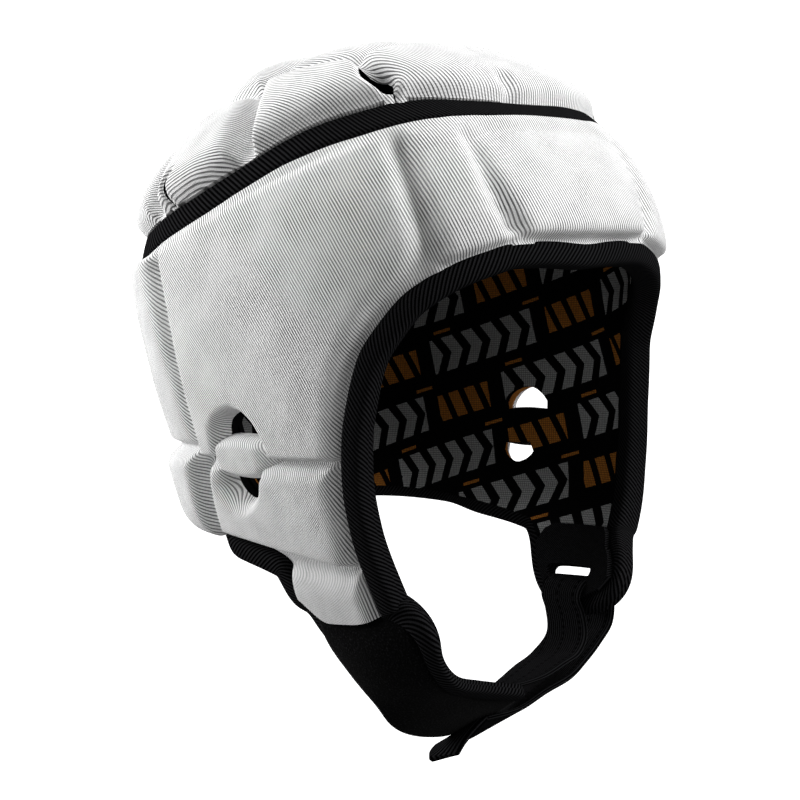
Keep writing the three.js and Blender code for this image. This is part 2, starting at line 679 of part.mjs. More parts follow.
function slotTabRows() {
  return SLOT_TAB.map(({ front, rear, v, outer }) => (
    steps(front, rear, SLOT_TAB_COLUMNS).map((longitude) => layered(-longitude, v, outer, SLOT_TAB_INNER))));
}

function slotTab() {
  const corners = [[-1, -1], [1, -1], [1, 1], [-1, 1]];
  const block = [SLOT.inner, SLOT.outer].map((x) => corners.map(([along, up]) => (
    new THREE.Vector3(x, SLOT.y + along * SLOT.halfLength, SLOT.z + up * SLOT.halfHeight))));
  return thickSheet(gridQuads(slotTabRows())).subtract(loftedBar(block));
}

// Bound edge: a rounded roll swept along the panel's edge, the slot tab's end and the chin tab's front edge
function edgeBinding(tabGrid) {
  const panelStation = (column, side, level, width) => {
    const [longitude, v] = coverPlace({ column, side }, level);
    const p = place(longitude, v, 0);
    return { p, n: formNormal(formPoint(longitude, v)), low: BINDING_INNER, high: BINDING_OUTER, width };
  };
  const cheekLevels = LEVELS.filter((level) => level > 1);
  const frontColumns = HALF_COLUMNS.filter((column) => column <= 1);
  const napeColumns = HALF_COLUMNS.filter((column) => column >= 2);
  const flapLevels = LEVELS.filter((level) => level > 2).reverse();
  const tabStations = tabGrid.slice(1).reverse().map((row) => ({
    p: row[0].middle,
    n: row[0].normal,
    low: -TAB_EDGE_HALF,
    high: TAB_EDGE_HALF,
    width: TAB_EDGE_WIDTH,
    gap: TAB_EDGE_GAP,
  }));
  const slotRows = slotTabRows().slice(SLOT_TAB_BOUND_ROW + 1);
  const slotEnd = slotRows[slotRows.length - 1];
  const slotLoop = [
    ...slotRows.map((row) => row[0]),
    ...slotEnd.slice(1, -1),
    ...slotRows.map((row) => row[row.length - 1]).reverse(),
  ];
  const slotStations = slotLoop.map(({ longitude, v }) => ({
    p: place(longitude, v, 0),
    n: formNormal(formPoint(longitude, v)),
    low: BINDING_INNER,
    high: SLOT_BINDING_OUTER,
    width: FLAP_END_WIDTH,
  }));
  const stations = [
    ...tabStations,
    ...[...cheekLevels].reverse().map((level) => panelStation(1, 1, level, BINDING_WIDTH)),
    ...[...frontColumns].reverse().map((column) => panelStation(column, 1, 1, BINDING_WIDTH)),
    ...frontColumns.slice(1).map((column) => panelStation(column, -1, 1, BINDING_WIDTH)),
    ...cheekLevels.map((level) => panelStation(1, -1, level, BINDING_WIDTH)),
    ...slotStations,
    ...flapLevels.map((level) => panelStation(2, -1, level, HEM_WIDTH.left)),
    ...napeColumns.map((column) => panelStation(column, -1, 2, HEM_WIDTH.left)),
    ...[...napeColumns].reverse().slice(1).map((column) => panelStation(column, 1, 2, HEM_WIDTH.right)),
    ...[...flapLevels].reverse().map((level) => panelStation(2, 1, level, HEM_WIDTH.right)),
  ];
  return loftedBar(stations.map((station, k) => {
    const ahead = stations[Math.min(k + 1, stations.length - 1)].p;
    const behind = stations[Math.max(k - 1, 0)].p;
    const out = new THREE.Vector3().crossVectors(ahead.clone().sub(behind), station.n).normalize();
    const { low, high, width, gap = BINDING_GAP } = station;
    const round = Math.min(BINDING_ROUND, (high - low) / 3);
    const section = [
      [gap, low], [width - round, low], [width, low + round],
      [width, high - round], [width - round, high], [gap, high],
    ];
    return section.map(([e, h]) => station.p.clone().addScaledVector(out, e).addScaledVector(station.n, h));
  }));
}

const helmet = new THREE.Group();
helmet.position.z = -SEAT_HEIGHT;

function addPiece(name, solid, colour, roughness) {
  const { vertProperties, triVerts } = solid.getMesh();
  const geometry = new THREE.BufferGeometry();
  geometry.setAttribute('position', new THREE.BufferAttribute(new Float32Array(vertProperties), 3));
  geometry.setIndex(new THREE.BufferAttribute(new Uint32Array(triVerts), 1));
  geometry.computeVertexNormals();
  const finish = new THREE.MeshStandardMaterial({ color: colour, roughness, metalness: 0 });
  const mesh = new THREE.Mesh(geometry, finish);
  mesh.name = name;
  helmet.add(mesh);
}

const chinTab = chinTabGrid();
const panel = sidePanel();
const band = panel.subtract(earSection(1, GAP)).subtract(earSection(-1, GAP));
addPiece('side_panel', band, COLOURS.white, 0.85);
addPiece('right_ear_panel', panel.intersect(earSection(1, 0)), COLOURS.white, 0.85);
addPiece('left_ear_panel', panel.intersect(earSection(-1, 0)), COLOURS.white, 0.85);
addPiece('crown_panel', crownPanel(), COLOURS.white, 0.85);
addPiece('lining', lining(), COLOURS.black, 0.9);
addPiece('crown_seam_tape', seamTape(), COLOURS.black, 0.8);
addPiece('edge_binding', edgeBinding(chinTab), COLOURS.black, 0.8);
addPiece('chin_tab', thickSheet(gridQuads(chinTab)), COLOURS.black, 0.95);
addPiece('slot_tab', slotTab(), COLOURS.black, 0.85);
addPiece('chin_strap', strapSolid(CHIN_STRAP, STRAP_THICKNESS, STRAP_ROWS), COLOURS.webbing, 0.75);
addPiece('pull_tab', strapSolid(PULL_TAB, PULL_THICKNESS, PULL_ROWS), COLOURS.webbing, 0.7);

export default helmet;
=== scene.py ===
"""Looks of a soft shell football helmet: padded white knit, printed lining, tape, binding and strap.

Sizes are in millimetres about the centre of the head's widest level; the pieces are made in metres in
the row frame, whose origin is the inside of the crown at its apex.
"""

import logging
import math
from dataclasses import dataclass, field
from enum import Enum
from functools import reduce

import bpy
import numpy as np
from mathutils import Matrix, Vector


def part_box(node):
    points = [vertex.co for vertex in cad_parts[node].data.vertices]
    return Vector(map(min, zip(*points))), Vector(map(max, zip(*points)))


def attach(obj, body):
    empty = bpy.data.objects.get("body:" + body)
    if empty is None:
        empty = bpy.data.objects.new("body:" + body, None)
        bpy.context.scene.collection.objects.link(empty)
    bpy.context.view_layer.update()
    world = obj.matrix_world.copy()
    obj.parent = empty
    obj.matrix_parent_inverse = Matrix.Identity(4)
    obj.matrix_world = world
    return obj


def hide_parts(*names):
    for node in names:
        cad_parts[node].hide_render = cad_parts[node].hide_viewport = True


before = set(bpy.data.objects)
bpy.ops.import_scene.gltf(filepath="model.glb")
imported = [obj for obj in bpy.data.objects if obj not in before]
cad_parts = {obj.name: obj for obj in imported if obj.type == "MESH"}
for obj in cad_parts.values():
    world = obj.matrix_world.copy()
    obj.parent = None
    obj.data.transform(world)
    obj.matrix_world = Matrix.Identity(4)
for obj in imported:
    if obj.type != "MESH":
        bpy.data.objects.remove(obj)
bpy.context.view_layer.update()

Array = np.ndarray
Socket = bpy.types.NodeSocket
Rows = tuple[tuple[float, ...], ...]
Pair = tuple[float, float]
Triple = tuple[float, float, float]
Colour = tuple[float, ...]
Material = bpy.types.Material
Item = bpy.types.Object

MM = 0.001
TINY = 1e-12
ON_EDGE = 0.05
SPLINE_STEPS = 24
EDGE_POINTS = 40
LOG = logging.getLogger("helmet")


def lerp(a: Array, b: Array, share: Array) -> Array:
    """Straight mix of two values, all a at share 0 and all b at share 1."""
    return a + (b - a) * share


def ease(x: Array, low: float, high: float) -> Array:
    """Smooth step from 0 at low to 1 at high."""
    share = np.clip((x - low) / (high - low), 0.0, 1.0)
    return share * share * (3.0 - 2.0 * share)


def unit(vectors: Array) -> Array:
    """Vectors along the last axis, scaled to length 1."""
    return vectors / np.maximum(np.linalg.norm(vectors, axis=-1, keepdims=True), TINY)


def hermite(
    share: Array, ends: tuple[Array, Array], slopes: tuple[Array, Array], span: Array | float = 1.0
) -> Array:
    """Cubic between two values with a given slope at each.

    Args:
        share: Share of the way between them.
        ends: First and last value.
        slopes: Slopes there.
        span: Length of the way.

    Returns:
        Values along the way.
    """
    square, cube = share**2, share**3
    return (
        (2 * cube - 3 * square + 1) * ends[0]
        + (cube - 2 * square + share) * span * slopes[0]
        + (3 * square - 2 * cube) * ends[1]
        + (cube - square) * span * slopes[1]
    )


def distances(line: Array) -> Array:
    """Distance of each point of a polyline from its start."""
    return np.concatenate([[0.0], np.cumsum(np.linalg.norm(np.diff(line, axis=0), axis=1))])


def spline(stops: Array, count: int) -> Array:
    """Smooth curve through stops, evenly spread along its length.

    Args:
        stops: Points that the curve goes through.
        count: How many points to return.

    Returns:
        Points along the curve.
    """
    stops = np.asarray(stops, float)
    if len(stops) < 3:
        return lerp(stops[0], stops[-1], np.linspace(0.0, 1.0, count)[:, None])
    ends = np.vstack([2 * stops[0] - stops[1], stops, 2 * stops[-1] - stops[-2]])
    share = np.linspace(0.0, 1.0, SPLINE_STEPS, endpoint=False)[:, None]
    runs = [
        hermite(share, (here, there), ((there - before) / 2, (after - here) / 2))
        for before, here, there, after in zip(ends, ends[1:], ends[2:], ends[3:])
    ]
    return evenly(np.vstack([*runs, stops[-1:]]), count)


def evenly(line: Array, count: int) -> Array:
    """Points spread evenly along a polyline.

    Args:
        line: Points of the polyline.
        count: How many points to return.

    Returns:
        Evenly spread points.
    """
    far = distances(line)
    spots = np.linspace(0.0, far[-1], count)
    return np.stack([np.interp(spots, far, column) for column in line.T], axis=1)


def on_segment(start: Array, stop: Array, x: Array, y: Array) -> tuple[Array, Array, Array]:
    """Nearest places on a straight segment.

    Args:
        start: First end of the segment.
        stop: Last end of the segment.
        x: First coordinates to look from.
        y: Second coordinates to look from.

    Returns:
        Coordinates of the nearest places, and the squared distances to them.
    """
    dx, dy = stop - start
    share = np.clip(((x - start[0]) * dx + (y - start[1]) * dy) / (dx * dx + dy * dy + TINY), 0.0, 1.0)
    spot_x, spot_y = start[0] + share * dx, start[1] + share * dy
    return spot_x, spot_y, (x - spot_x) ** 2 + (y - spot_y) ** 2


def nearest_on(line: Array, x: Array, y: Array) -> tuple[Array, Array]:
    """Nearest places on a line.

    Args:
        line: Points of the line.
        x: First coordinates to look from.
        y: Second coordinates to look from.

    Returns:
        Coordinates of the nearest places.
    """
    best = np.full(x.shape, np.inf)
    near_x, near_y = x.copy(), y.copy()
    for start, stop in zip(line, line[1:]):
        spot_x, spot_y, far = on_segment(start, stop, x, y)
        closer = far < best
        best = np.where(closer, far, best)
        near_x = np.where(closer, spot_x, near_x)
        near_y = np.where(closer, spot_y, near_y)
    return near_x, near_y


def away_from(line: Array, x: Array, y: Array) -> Array:
    """Distances from a line."""
    segments = zip(line, line[1:])
    return np.sqrt(reduce(np.minimum, (on_segment(start, stop, x, y)[2] for start, stop in segments)))


def closed(outline: Array) -> Array:
    """Corners of an outline with the first one again at the end."""
    return np.vstack([outline, outline[:1]])


def inset(outline: Array, x: Array, y: Array) -> Array:
    """Distance in from a closed outline, negative outside it.

    Args:
        outline: Corners of the outline.
        x: First coordinates to look at.
        y: Second coordinates to look at.

    Returns:
        Distances, positive inside.
    """
    inside = np.zeros(x.shape, bool)
    for (ax, ay), (bx, by) in zip(outline, np.roll(outline, -1, axis=0)):
        dx, dy = bx - ax, by - ay
        if abs(dy) > TINY:
            inside ^= ((ay > y) != (by > y)) & (x < ax + (y - ay) * dx / dy)
    return np.where(inside, 1.0, -1.0) * away_from(closed(outline), x, y)


def cut_hole(outline: Array, x: Array, y: Array, kept: Array) -> None:
    """Cuts a hole in a grid: drops the faces inside it and draws the corners left over to its outline.

    Args:
        outline: Corners of the hole, close together.
        x: First coordinates of the grid's corners, changed in place.
        y: Second coordinates of the grid's corners, changed in place.
        kept: Which faces stay, changed in place.
    """
    inside = inset(outline, x, y) > 0
    kept &= ~(inside[:-1, :-1] & inside[1:, :-1] & inside[:-1, 1:] & inside[1:, 1:])
    x[inside], y[inside] = nearest_on(closed(outline), x[inside], y[inside])


def rounded_box(middle: Pair, half: Pair, power: float, count: int) -> Array:
    """Outline of a box with rounded corners.

    Args:
        middle: Its middle.
        half: Its half width and half height.
        power: How round it is, 1 for an ellipse and near 0 for a box.
        count: How many corners the outline gets.

    Returns:
        Corners of the outline.
    """
    around = np.linspace(0.0, 2 * math.pi, count, endpoint=False)
    corner = np.stack([np.cos(around), np.sin(around)], axis=1)
    return np.array(middle) + np.array(half) * np.sign(corner) * np.abs(corner) ** power


def smoothed(values: Array, width: float, half: int, axis: int = 0) -> Array:
    """Smooths values along one axis.

    Args:
        values: Values to smooth.
        width: Width of the smoothing, in steps.
        half: How many steps it looks to either side.
        axis: Axis to smooth along.

    Returns:
        Smoothed values.
    """
    weights = np.exp(-0.5 * (np.arange(-half, half + 1) / width) ** 2)
    weights /= weights.sum()
    pads = [(half, half) if k == axis else (0, 0) for k in range(values.ndim)]
    wide = np.pad(values, pads, mode="edge")
    size = values.shape[axis]
    return sum(w * np.take(wide, range(k, k + size), axis=axis) for k, w in enumerate(weights))


def ripple(x: Array, y: Array, seed: int, wave: float) -> Array:
    """Gentle unevenness of stuffed cloth, the same on every run.

    Args:
        x: First coordinates.
        y: Second coordinates.
        seed: Seed of the waves.
        wave: Length of a wave.

    Returns:
        Values of about -1 to 1.
    """
    waves, gain = 6, 1.6
    dice = np.random.default_rng(seed)
    total = np.zeros(np.broadcast(x, y).shape)
    for _ in range(waves):
        turn, phase = dice.uniform(0.0, 2 * math.pi, 2)
        pitch = wave * dice.uniform(0.7, 1.5) / (2 * math.pi)
        total = total + np.sin((x * math.cos(turn) + y * math.sin(turn)) / pitch + phase)
    return total / waves * gain


@dataclass(frozen=True)
class EdgeLine:
    """Smooth line through a short table of places."""

    stops: Rows
    level_ends: bool = False

    def at(self, x: Array) -> Array:
        """Looks the line up.

        Args:
            x: Where to look.

        Returns:
            Values of the line.
        """
        xs, ys = np.array(sorted(self.stops), float).T
        slopes = np.diff(ys) / np.diff(xs)
        turn = np.zeros(len(xs))
        product = slopes[:-1] * slopes[1:]
        total = np.where(np.abs(slopes[:-1] + slopes[1:]) < TINY, 1.0, slopes[:-1] + slopes[1:])
        turn[1:-1] = np.where(product > 0, 2 * product / total, 0.0)
        if not self.level_ends:
            turn[0], turn[-1] = slopes[0], slopes[-1]
        x = np.clip(np.asarray(x, float), xs[0], xs[-1])
        k = np.clip(np.searchsorted(xs, x, side="right") - 1, 0, len(xs) - 2)
        span = xs[k + 1] - xs[k]
        return hermite((x - xs[k]) / span, (ys[k], ys[k + 1]), (turn[k], turn[k + 1]), span)

    def turned(self) -> "EdgeLine":
        """The same line with its two columns swapped."""
        return EdgeLine(tuple((b, a) for a, b in self.stops), self.level_ends)


class Side(Enum):
    """Sides of the wearer's head."""

    RIGHT = 1
    LEFT = -1


class Layer(Enum):
    """Heights of the layers off the head form."""

    SHELL_INNER = -11.0
    LINING_OUTER = -11.3
    LINING_INNER = -13.3


@dataclass(frozen=True)
class HeadForm:
    """Mean outer surface of the padding, charted by longitude from the brow and height up the meridian."""

    half_width: float = 94.0
    front_reach: float = 113.0
    back_reach: float = 106.0
    crown_height: float = 95.5
    plan_power: float = 2.67
    jaw_taper: float = 14.0
    neck_taper: float = 25.0
    neck_bend: float = 1.4
    taper_span: float = 100.0
    seat_height: float = 82.2
    least_shrink: float = 1e-6
    normal_step: float = 0.05
    splay_none: float = -118.0
    splay_full: float = -52.0
    splay: EdgeLine = EdgeLine(
        ((-148, 11), (-130, 14.5), (-105, 19.5), (-85, 17.5), (-60, 11), (-40, 5), (-25, 1), (-15, 0))
    )

    @property
    def apex(self) -> float:
        """Meridian height of the crown's apex."""
        return self.crown_height * math.pi / 2

    def level(self, p: Array) -> Array:
        """How far out a point is.

        Args:
            p: Points.

        Returns:
            1 on the head form, less inside.
        """
        drop = np.maximum(-p[..., 2], 0.0) / self.taper_span
        side = self.half_width - self.jaw_taper * drop**2
        rear = self.back_reach - self.neck_taper * drop**self.neck_bend
        reach = np.where(p[..., 1] < 0, self.front_reach, rear)
        power = self.plan_power
        plan = (np.abs(p[..., 0]) / side) ** power + (np.abs(p[..., 1]) / reach) ** power
        return np.hypot(plan ** (1 / power), np.maximum(p[..., 2], 0.0) / self.crown_height)

    def point(self, longitude: Array, v: Array) -> Array:
        """Point of the head form.

        Args:
            longitude: Degrees from the brow, the wearer's right positive.
            v: Height up the meridian.

        Returns:
            Points.
        """
        longitude, v = np.broadcast_arrays(np.asarray(longitude, float), np.asarray(v, float))
        turn = np.radians(longitude)
        lean = np.maximum(np.cos(v / self.crown_height), self.least_shrink)
        shrink = np.where(v > 0, lean, 1.0)
        foot = np.stack([-np.sin(turn), -np.cos(turn), np.minimum(v, 0.0)], axis=-1)
        plan = shrink / self.level(foot)
        height = np.where(v > 0, self.crown_height * np.sin(v / self.crown_height), v)
        return np.stack([foot[..., 0] * plan, foot[..., 1] * plan, height], axis=-1)

    def normal(self, p: Array) -> Array:
        """Outward direction at points of the head form.

        Args:
            p: Points.

        Returns:
            Unit vectors.
        """
        steps = self.normal_step * np.eye(3)
        slopes = [self.level(p + step) - self.level(p - step) for step in steps]
        return unit(np.stack(slopes, axis=-1))

    def shift(self, longitude: Array, v: Array) -> Array:
        """Outward shift of the left flap, along X."""
        left = np.mod(longitude, 360.0) - 360.0
        return ease(left, self.splay_none, self.splay_full) * self.splay.at(v)

    def place(self, longitude: Array, v: Array, height: Array) -> Array:
        """Point off the head form.

        Args:
            longitude: Degrees from the brow.
            v: Height up the meridian.
            height: Distance outward.

        Returns:
            Points.
        """
        longitude, v, height = np.broadcast_arrays(
            np.asarray(longitude, float), np.asarray(v, float), np.asarray(height, float)
        )
        p = self.point(longitude, v)
        p = p + self.normal(p) * height[..., None]
        p[..., 0] += self.shift(longitude, v)
        return p

    def crown_chart(self, plan: Array | Rows) -> Array:
        """Chart places of plan points on the crown.

        Args:
            plan: Plan points.

        Returns:
            Longitudes and meridian heights.
        """
        plan = np.asarray(plan, float)
        flat = np.concatenate([plan, np.zeros_like(plan[..., :1])], axis=-1)
        rise = np.arccos(np.minimum(self.level(flat), 1.0))
        turn = np.degrees(np.arctan2(-plan[..., 0], -plan[..., 1]))
        return np.stack([turn, self.crown_height * rise], axis=-1)

    def row_frame(self, points: Array) -> Array:
        """Points about the head's centre, in metres in the row frame."""
        return (points - np.array([0.0, 0.0, self.seat_height])) * MM


FORM = HeadForm()


class FlatChart:
    """The side band laid flat: distance round the widest level, and height."""

    steps: int = 1441

    def __init__(self) -> None:
        """Measures the way round the head."""
        self.turns = np.linspace(-180.0, 180.0, self.steps)
        far = distances(FORM.point(self.turns, np.zeros_like(self.turns)))
        self.far = far - np.interp(0.0, self.turns, far)

    def across(self, longitude: Array) -> Array:
        """Distances from the brow round the head."""
        return np.interp(longitude, self.turns, self.far)

    def longitude(self, across: Array) -> Array:
        """Longitudes at distances from the brow round the head."""
        return np.interp(across, self.far, self.turns)

    def outline(self, stops: Rows, side: Side) -> Array:
        """Flat places of chart places, which are listed as on the right side."""
        table = np.array(stops, float)
        return np.stack([self.across(side.value * table[:, 0]), table[:, 1]], axis=1)


FLAT = FlatChart()


@dataclass(frozen=True)
class CoverGrid:
    """Grid over the helmet: column 0 to 3 runs brow, face edge, flap rear, nape; level -2 to 3 runs
    apex, crown foot, seam, brow, hem, flap end."""

    seam: EdgeLine = EdgeLine(
        ((0, 62), (30, 60), (52, 51.8), (68, 44), (86, 32.5), (110, 18), (135, 7), (180, 3)), True
    )
    brow: EdgeLine = EdgeLine(((0, 5), (12, 6.3), (18, 6), (24, 3), (29, 0), (34, -4)))
    face: EdgeLine = EdgeLine(
        (
            (34, -4), (41, -12), (46, -22), (50.5, -33), (53.5, -48), (56, -66), (57, -86), (56, -104),
            (50, -136),
        )
    )
    hem: EdgeLine = EdgeLine(((84, -116), (94, -112), (112, -107), (150, -102), (180, -101)))
    right_end: EdgeLine = EdgeLine(((50, -136), (60, -138.5), (68, -139), (80, -130)))
    left_end: EdgeLine = EdgeLine(((53, -122), (66, -126), (80, -123)))
    cheek_level: float = -4.0
    rise: EdgeLine = EdgeLine(
        ((0, 8), (20, 10.5), (32, 13.2), (45, 15.2), (62, 16), (86, 14.8), (110, 14.2), (180, 12)), True
    )
    overhang: Triple = (-50.0, 25.0, 10.0)
    band_face: float = 41.0
    band_rear: float = 100.0
    flap_rear: Pair = (84.0, 80.0)

    def crown_foot(self, longitude: Array) -> Array:
        """Lower edge of the crown, which hangs over the tape at the left of the brow.

        Args:
            longitude: Degrees from the brow.

        Returns:
            Meridian heights.
        """
        signed = np.mod(np.asarray(longitude, float) + 180.0, 360.0) - 180.0
        turn = np.abs(signed)
        middle, reach, drop = self.overhang
        return self.seam.at(turn) + self.rise.at(turn) - drop * np.exp(-(((signed - middle) / reach) ** 2))

    def chart(self, column: Array, side: Side, level: Array) -> tuple[Array, Array]:
        """Chart places of grid corners.

        Args:
            column: Columns, 0 to 3.
            side: Side of the head.
            level: Levels, -2 to 3.

        Returns:
            Longitudes and meridian heights.
        """
        column, level = np.broadcast_arrays(np.asarray(column, float), np.asarray(level, float))
        end = self.right_end if side is Side.RIGHT else self.left_end
        hem_start, face_start = self.hem.stops[0][1], self.face.stops[0][0]
        low = np.clip(level - 2, 0.0, 1.0)
        cheek = lerp(self.cheek_level, hem_start, np.clip(level - 1, 0.0, 1.0))
        face_line = self.face.turned().at(lerp(cheek, end.stops[0][1], low))
        band = lerp(self.band_face, face_start, np.clip(level, 0.0, 1.0))
        face = np.where(level < 1, band, face_line)
        high_flap = lerp(self.band_rear, self.flap_rear[0], np.maximum(level, 0.0) / 2)
        flap = np.where(level < 2, high_flap, lerp(self.flap_rear[0], self.flap_rear[1], low))
        turn = np.where(
            column < 1,
            face * column,
            np.where(column < 2, lerp(face, flap, column - 1), lerp(flap, 180.0, column - 2)),
        )
        seam, foot = self.seam.at(turn), self.crown_foot(turn)
        brow = np.where(column < 1, self.brow.at(turn), self.cheek_level)
        hem = np.where(column <= 2, hem_start, self.hem.at(turn))
        v = np.select(
            [level <= -1, level <= 0, level <= 1, level <= 2],
            [
                lerp(FORM.apex, foot, level + 2),
                lerp(foot, seam, level + 1),
                lerp(seam, brow, level),
                lerp(self.cheek_level, hem, level - 1),
            ],
            lerp(hem, end.at(turn), low),
        )
        return side.value * turn, v


GRID = CoverGrid()


@dataclass
class Patch:
    """Stretch of mesh: points, faces, flat places of its cloth, and which finish it takes."""

    points: Array
    faces: list[tuple[int, ...]]
    cloth: Array
    finish: int = 0


def grid_faces(rows: int, columns: int, kept: Array | None = None) -> Array:
    """Faces of a grid of points.

    Args:
        rows: Number of rows.
        columns: Number of columns.
        kept: Which faces to keep, or None for all.

    Returns:
        Corner numbers of the faces.
    """
    number = np.arange(rows * columns).reshape(rows, columns)
    faces = np.stack([number[:-1, :-1], number[:-1, 1:], number[1:, 1:], number[1:, :-1]], axis=-1)
    return faces.reshape(-1, 4) if kept is None else faces[kept]


def listed(faces: Array) -> list[tuple[int, ...]]:
    """Faces as a list of tuples."""
    return [tuple(face) for face in faces.tolist()]


def border_edges(faces: Array, joined: Array | None = None) -> Array:
    """Edges that only one face has, without the line where two halves meet.

    Args:
        faces: Corner numbers of the faces.
        joined: Which corners lie on that line.

    Returns:
        Pairs of corner numbers, in the order of their face.
    """
    edges = np.concatenate([faces[:, [k, (k + 1) % 4]] for k in range(4)])
    ordered = np.sort(edges, axis=1)
    _, place, count = np.unique(ordered, axis=0, return_inverse=True, return_counts=True)
    alone = count[place.ravel()] == 1
    if joined is not None:
        alone &= ~joined.ravel()[edges].all(axis=1)
    return edges[alone]


def cover(
    columns: Array, levels: Array, side: Side, holes: list[Array]
) -> tuple[Array, Array, Array, Array]:
    """One half of a cloth over the cover grid, with holes.

    Args:
        columns: Columns of the grid.
        levels: Levels of the grid.
        side: Side of the head.
        holes: Flat outlines of the holes.

    Returns:
        Flat coordinates of the corners, corner numbers of the faces, and border edges.
    """
    u, t = np.meshgrid(columns, levels)
    longitude, y = GRID.chart(u, side, t)
    x = FLAT.across(longitude)
    middle_u = (u[:-1, :-1] + u[1:, 1:]) / 2
    middle_t = (t[:-1, :-1] + t[1:, 1:]) / 2
    kept = (middle_t < 1) | ((middle_u > 1) & ((middle_t < 2) | (middle_u < 2)))
    for hole in holes:
        cut_hole(hole, x, y, kept)
    faces = grid_faces(*u.shape, kept)
    return x, y, faces, border_edges(faces, (u == columns[0]) | (u == columns[-1]))


def skirt(top: Array, foot: Array, cloth: Array, edges: Array, finish: int = 0) -> Patch:
    """Wall below the border of a sheet.

    Args:
        top: Points of the sheet.
        foot: Points below them.
        cloth: Flat places of the sheet's points.
        edges: Border edges.
        finish: Which finish the wall takes.

    Returns:
        The wall.
    """
    count = len(edges)
    points = np.concatenate([top[edges[:, 0]], top[edges[:, 1]], foot[edges[:, 1]], foot[edges[:, 0]]])
    depth = np.linalg.norm(top - foot, axis=1)
    drop = np.stack([np.zeros_like(depth), depth], axis=1)
    places = np.concatenate(
        [cloth[edges[:, 0]], cloth[edges[:, 1]], (cloth + drop)[edges[:, 1]], (cloth + drop)[edges[:, 0]]]
    )
    number = np.arange(count)
    faces = np.stack([number + count, number, number + 3 * count, number + 2 * count], axis=1)
    return Patch(points, listed(faces), places, finish)


def loft(sections: Array, cloth: Array, capped: bool = True) -> Patch:
    """Closed bar through sections.

    Args:
        sections: Rows of section points.
        cloth: Flat places of the points, with one more column that closes the section.
        capped: Whether its ends are closed.

    Returns:
        The bar.
    """
    rows, around = sections.shape[:2]
    rings = np.concatenate([sections, sections[:, :1]], axis=1)
    faces = listed(grid_faces(rows, around + 1))
    if capped:
        last = (rows - 1) * (around + 1)
        faces.append(tuple(range(around))[::-1])
        faces.append(tuple(range(last, last + around)))
    return Patch(rings.reshape(-1, 3), faces, cloth.reshape(-1, 2))


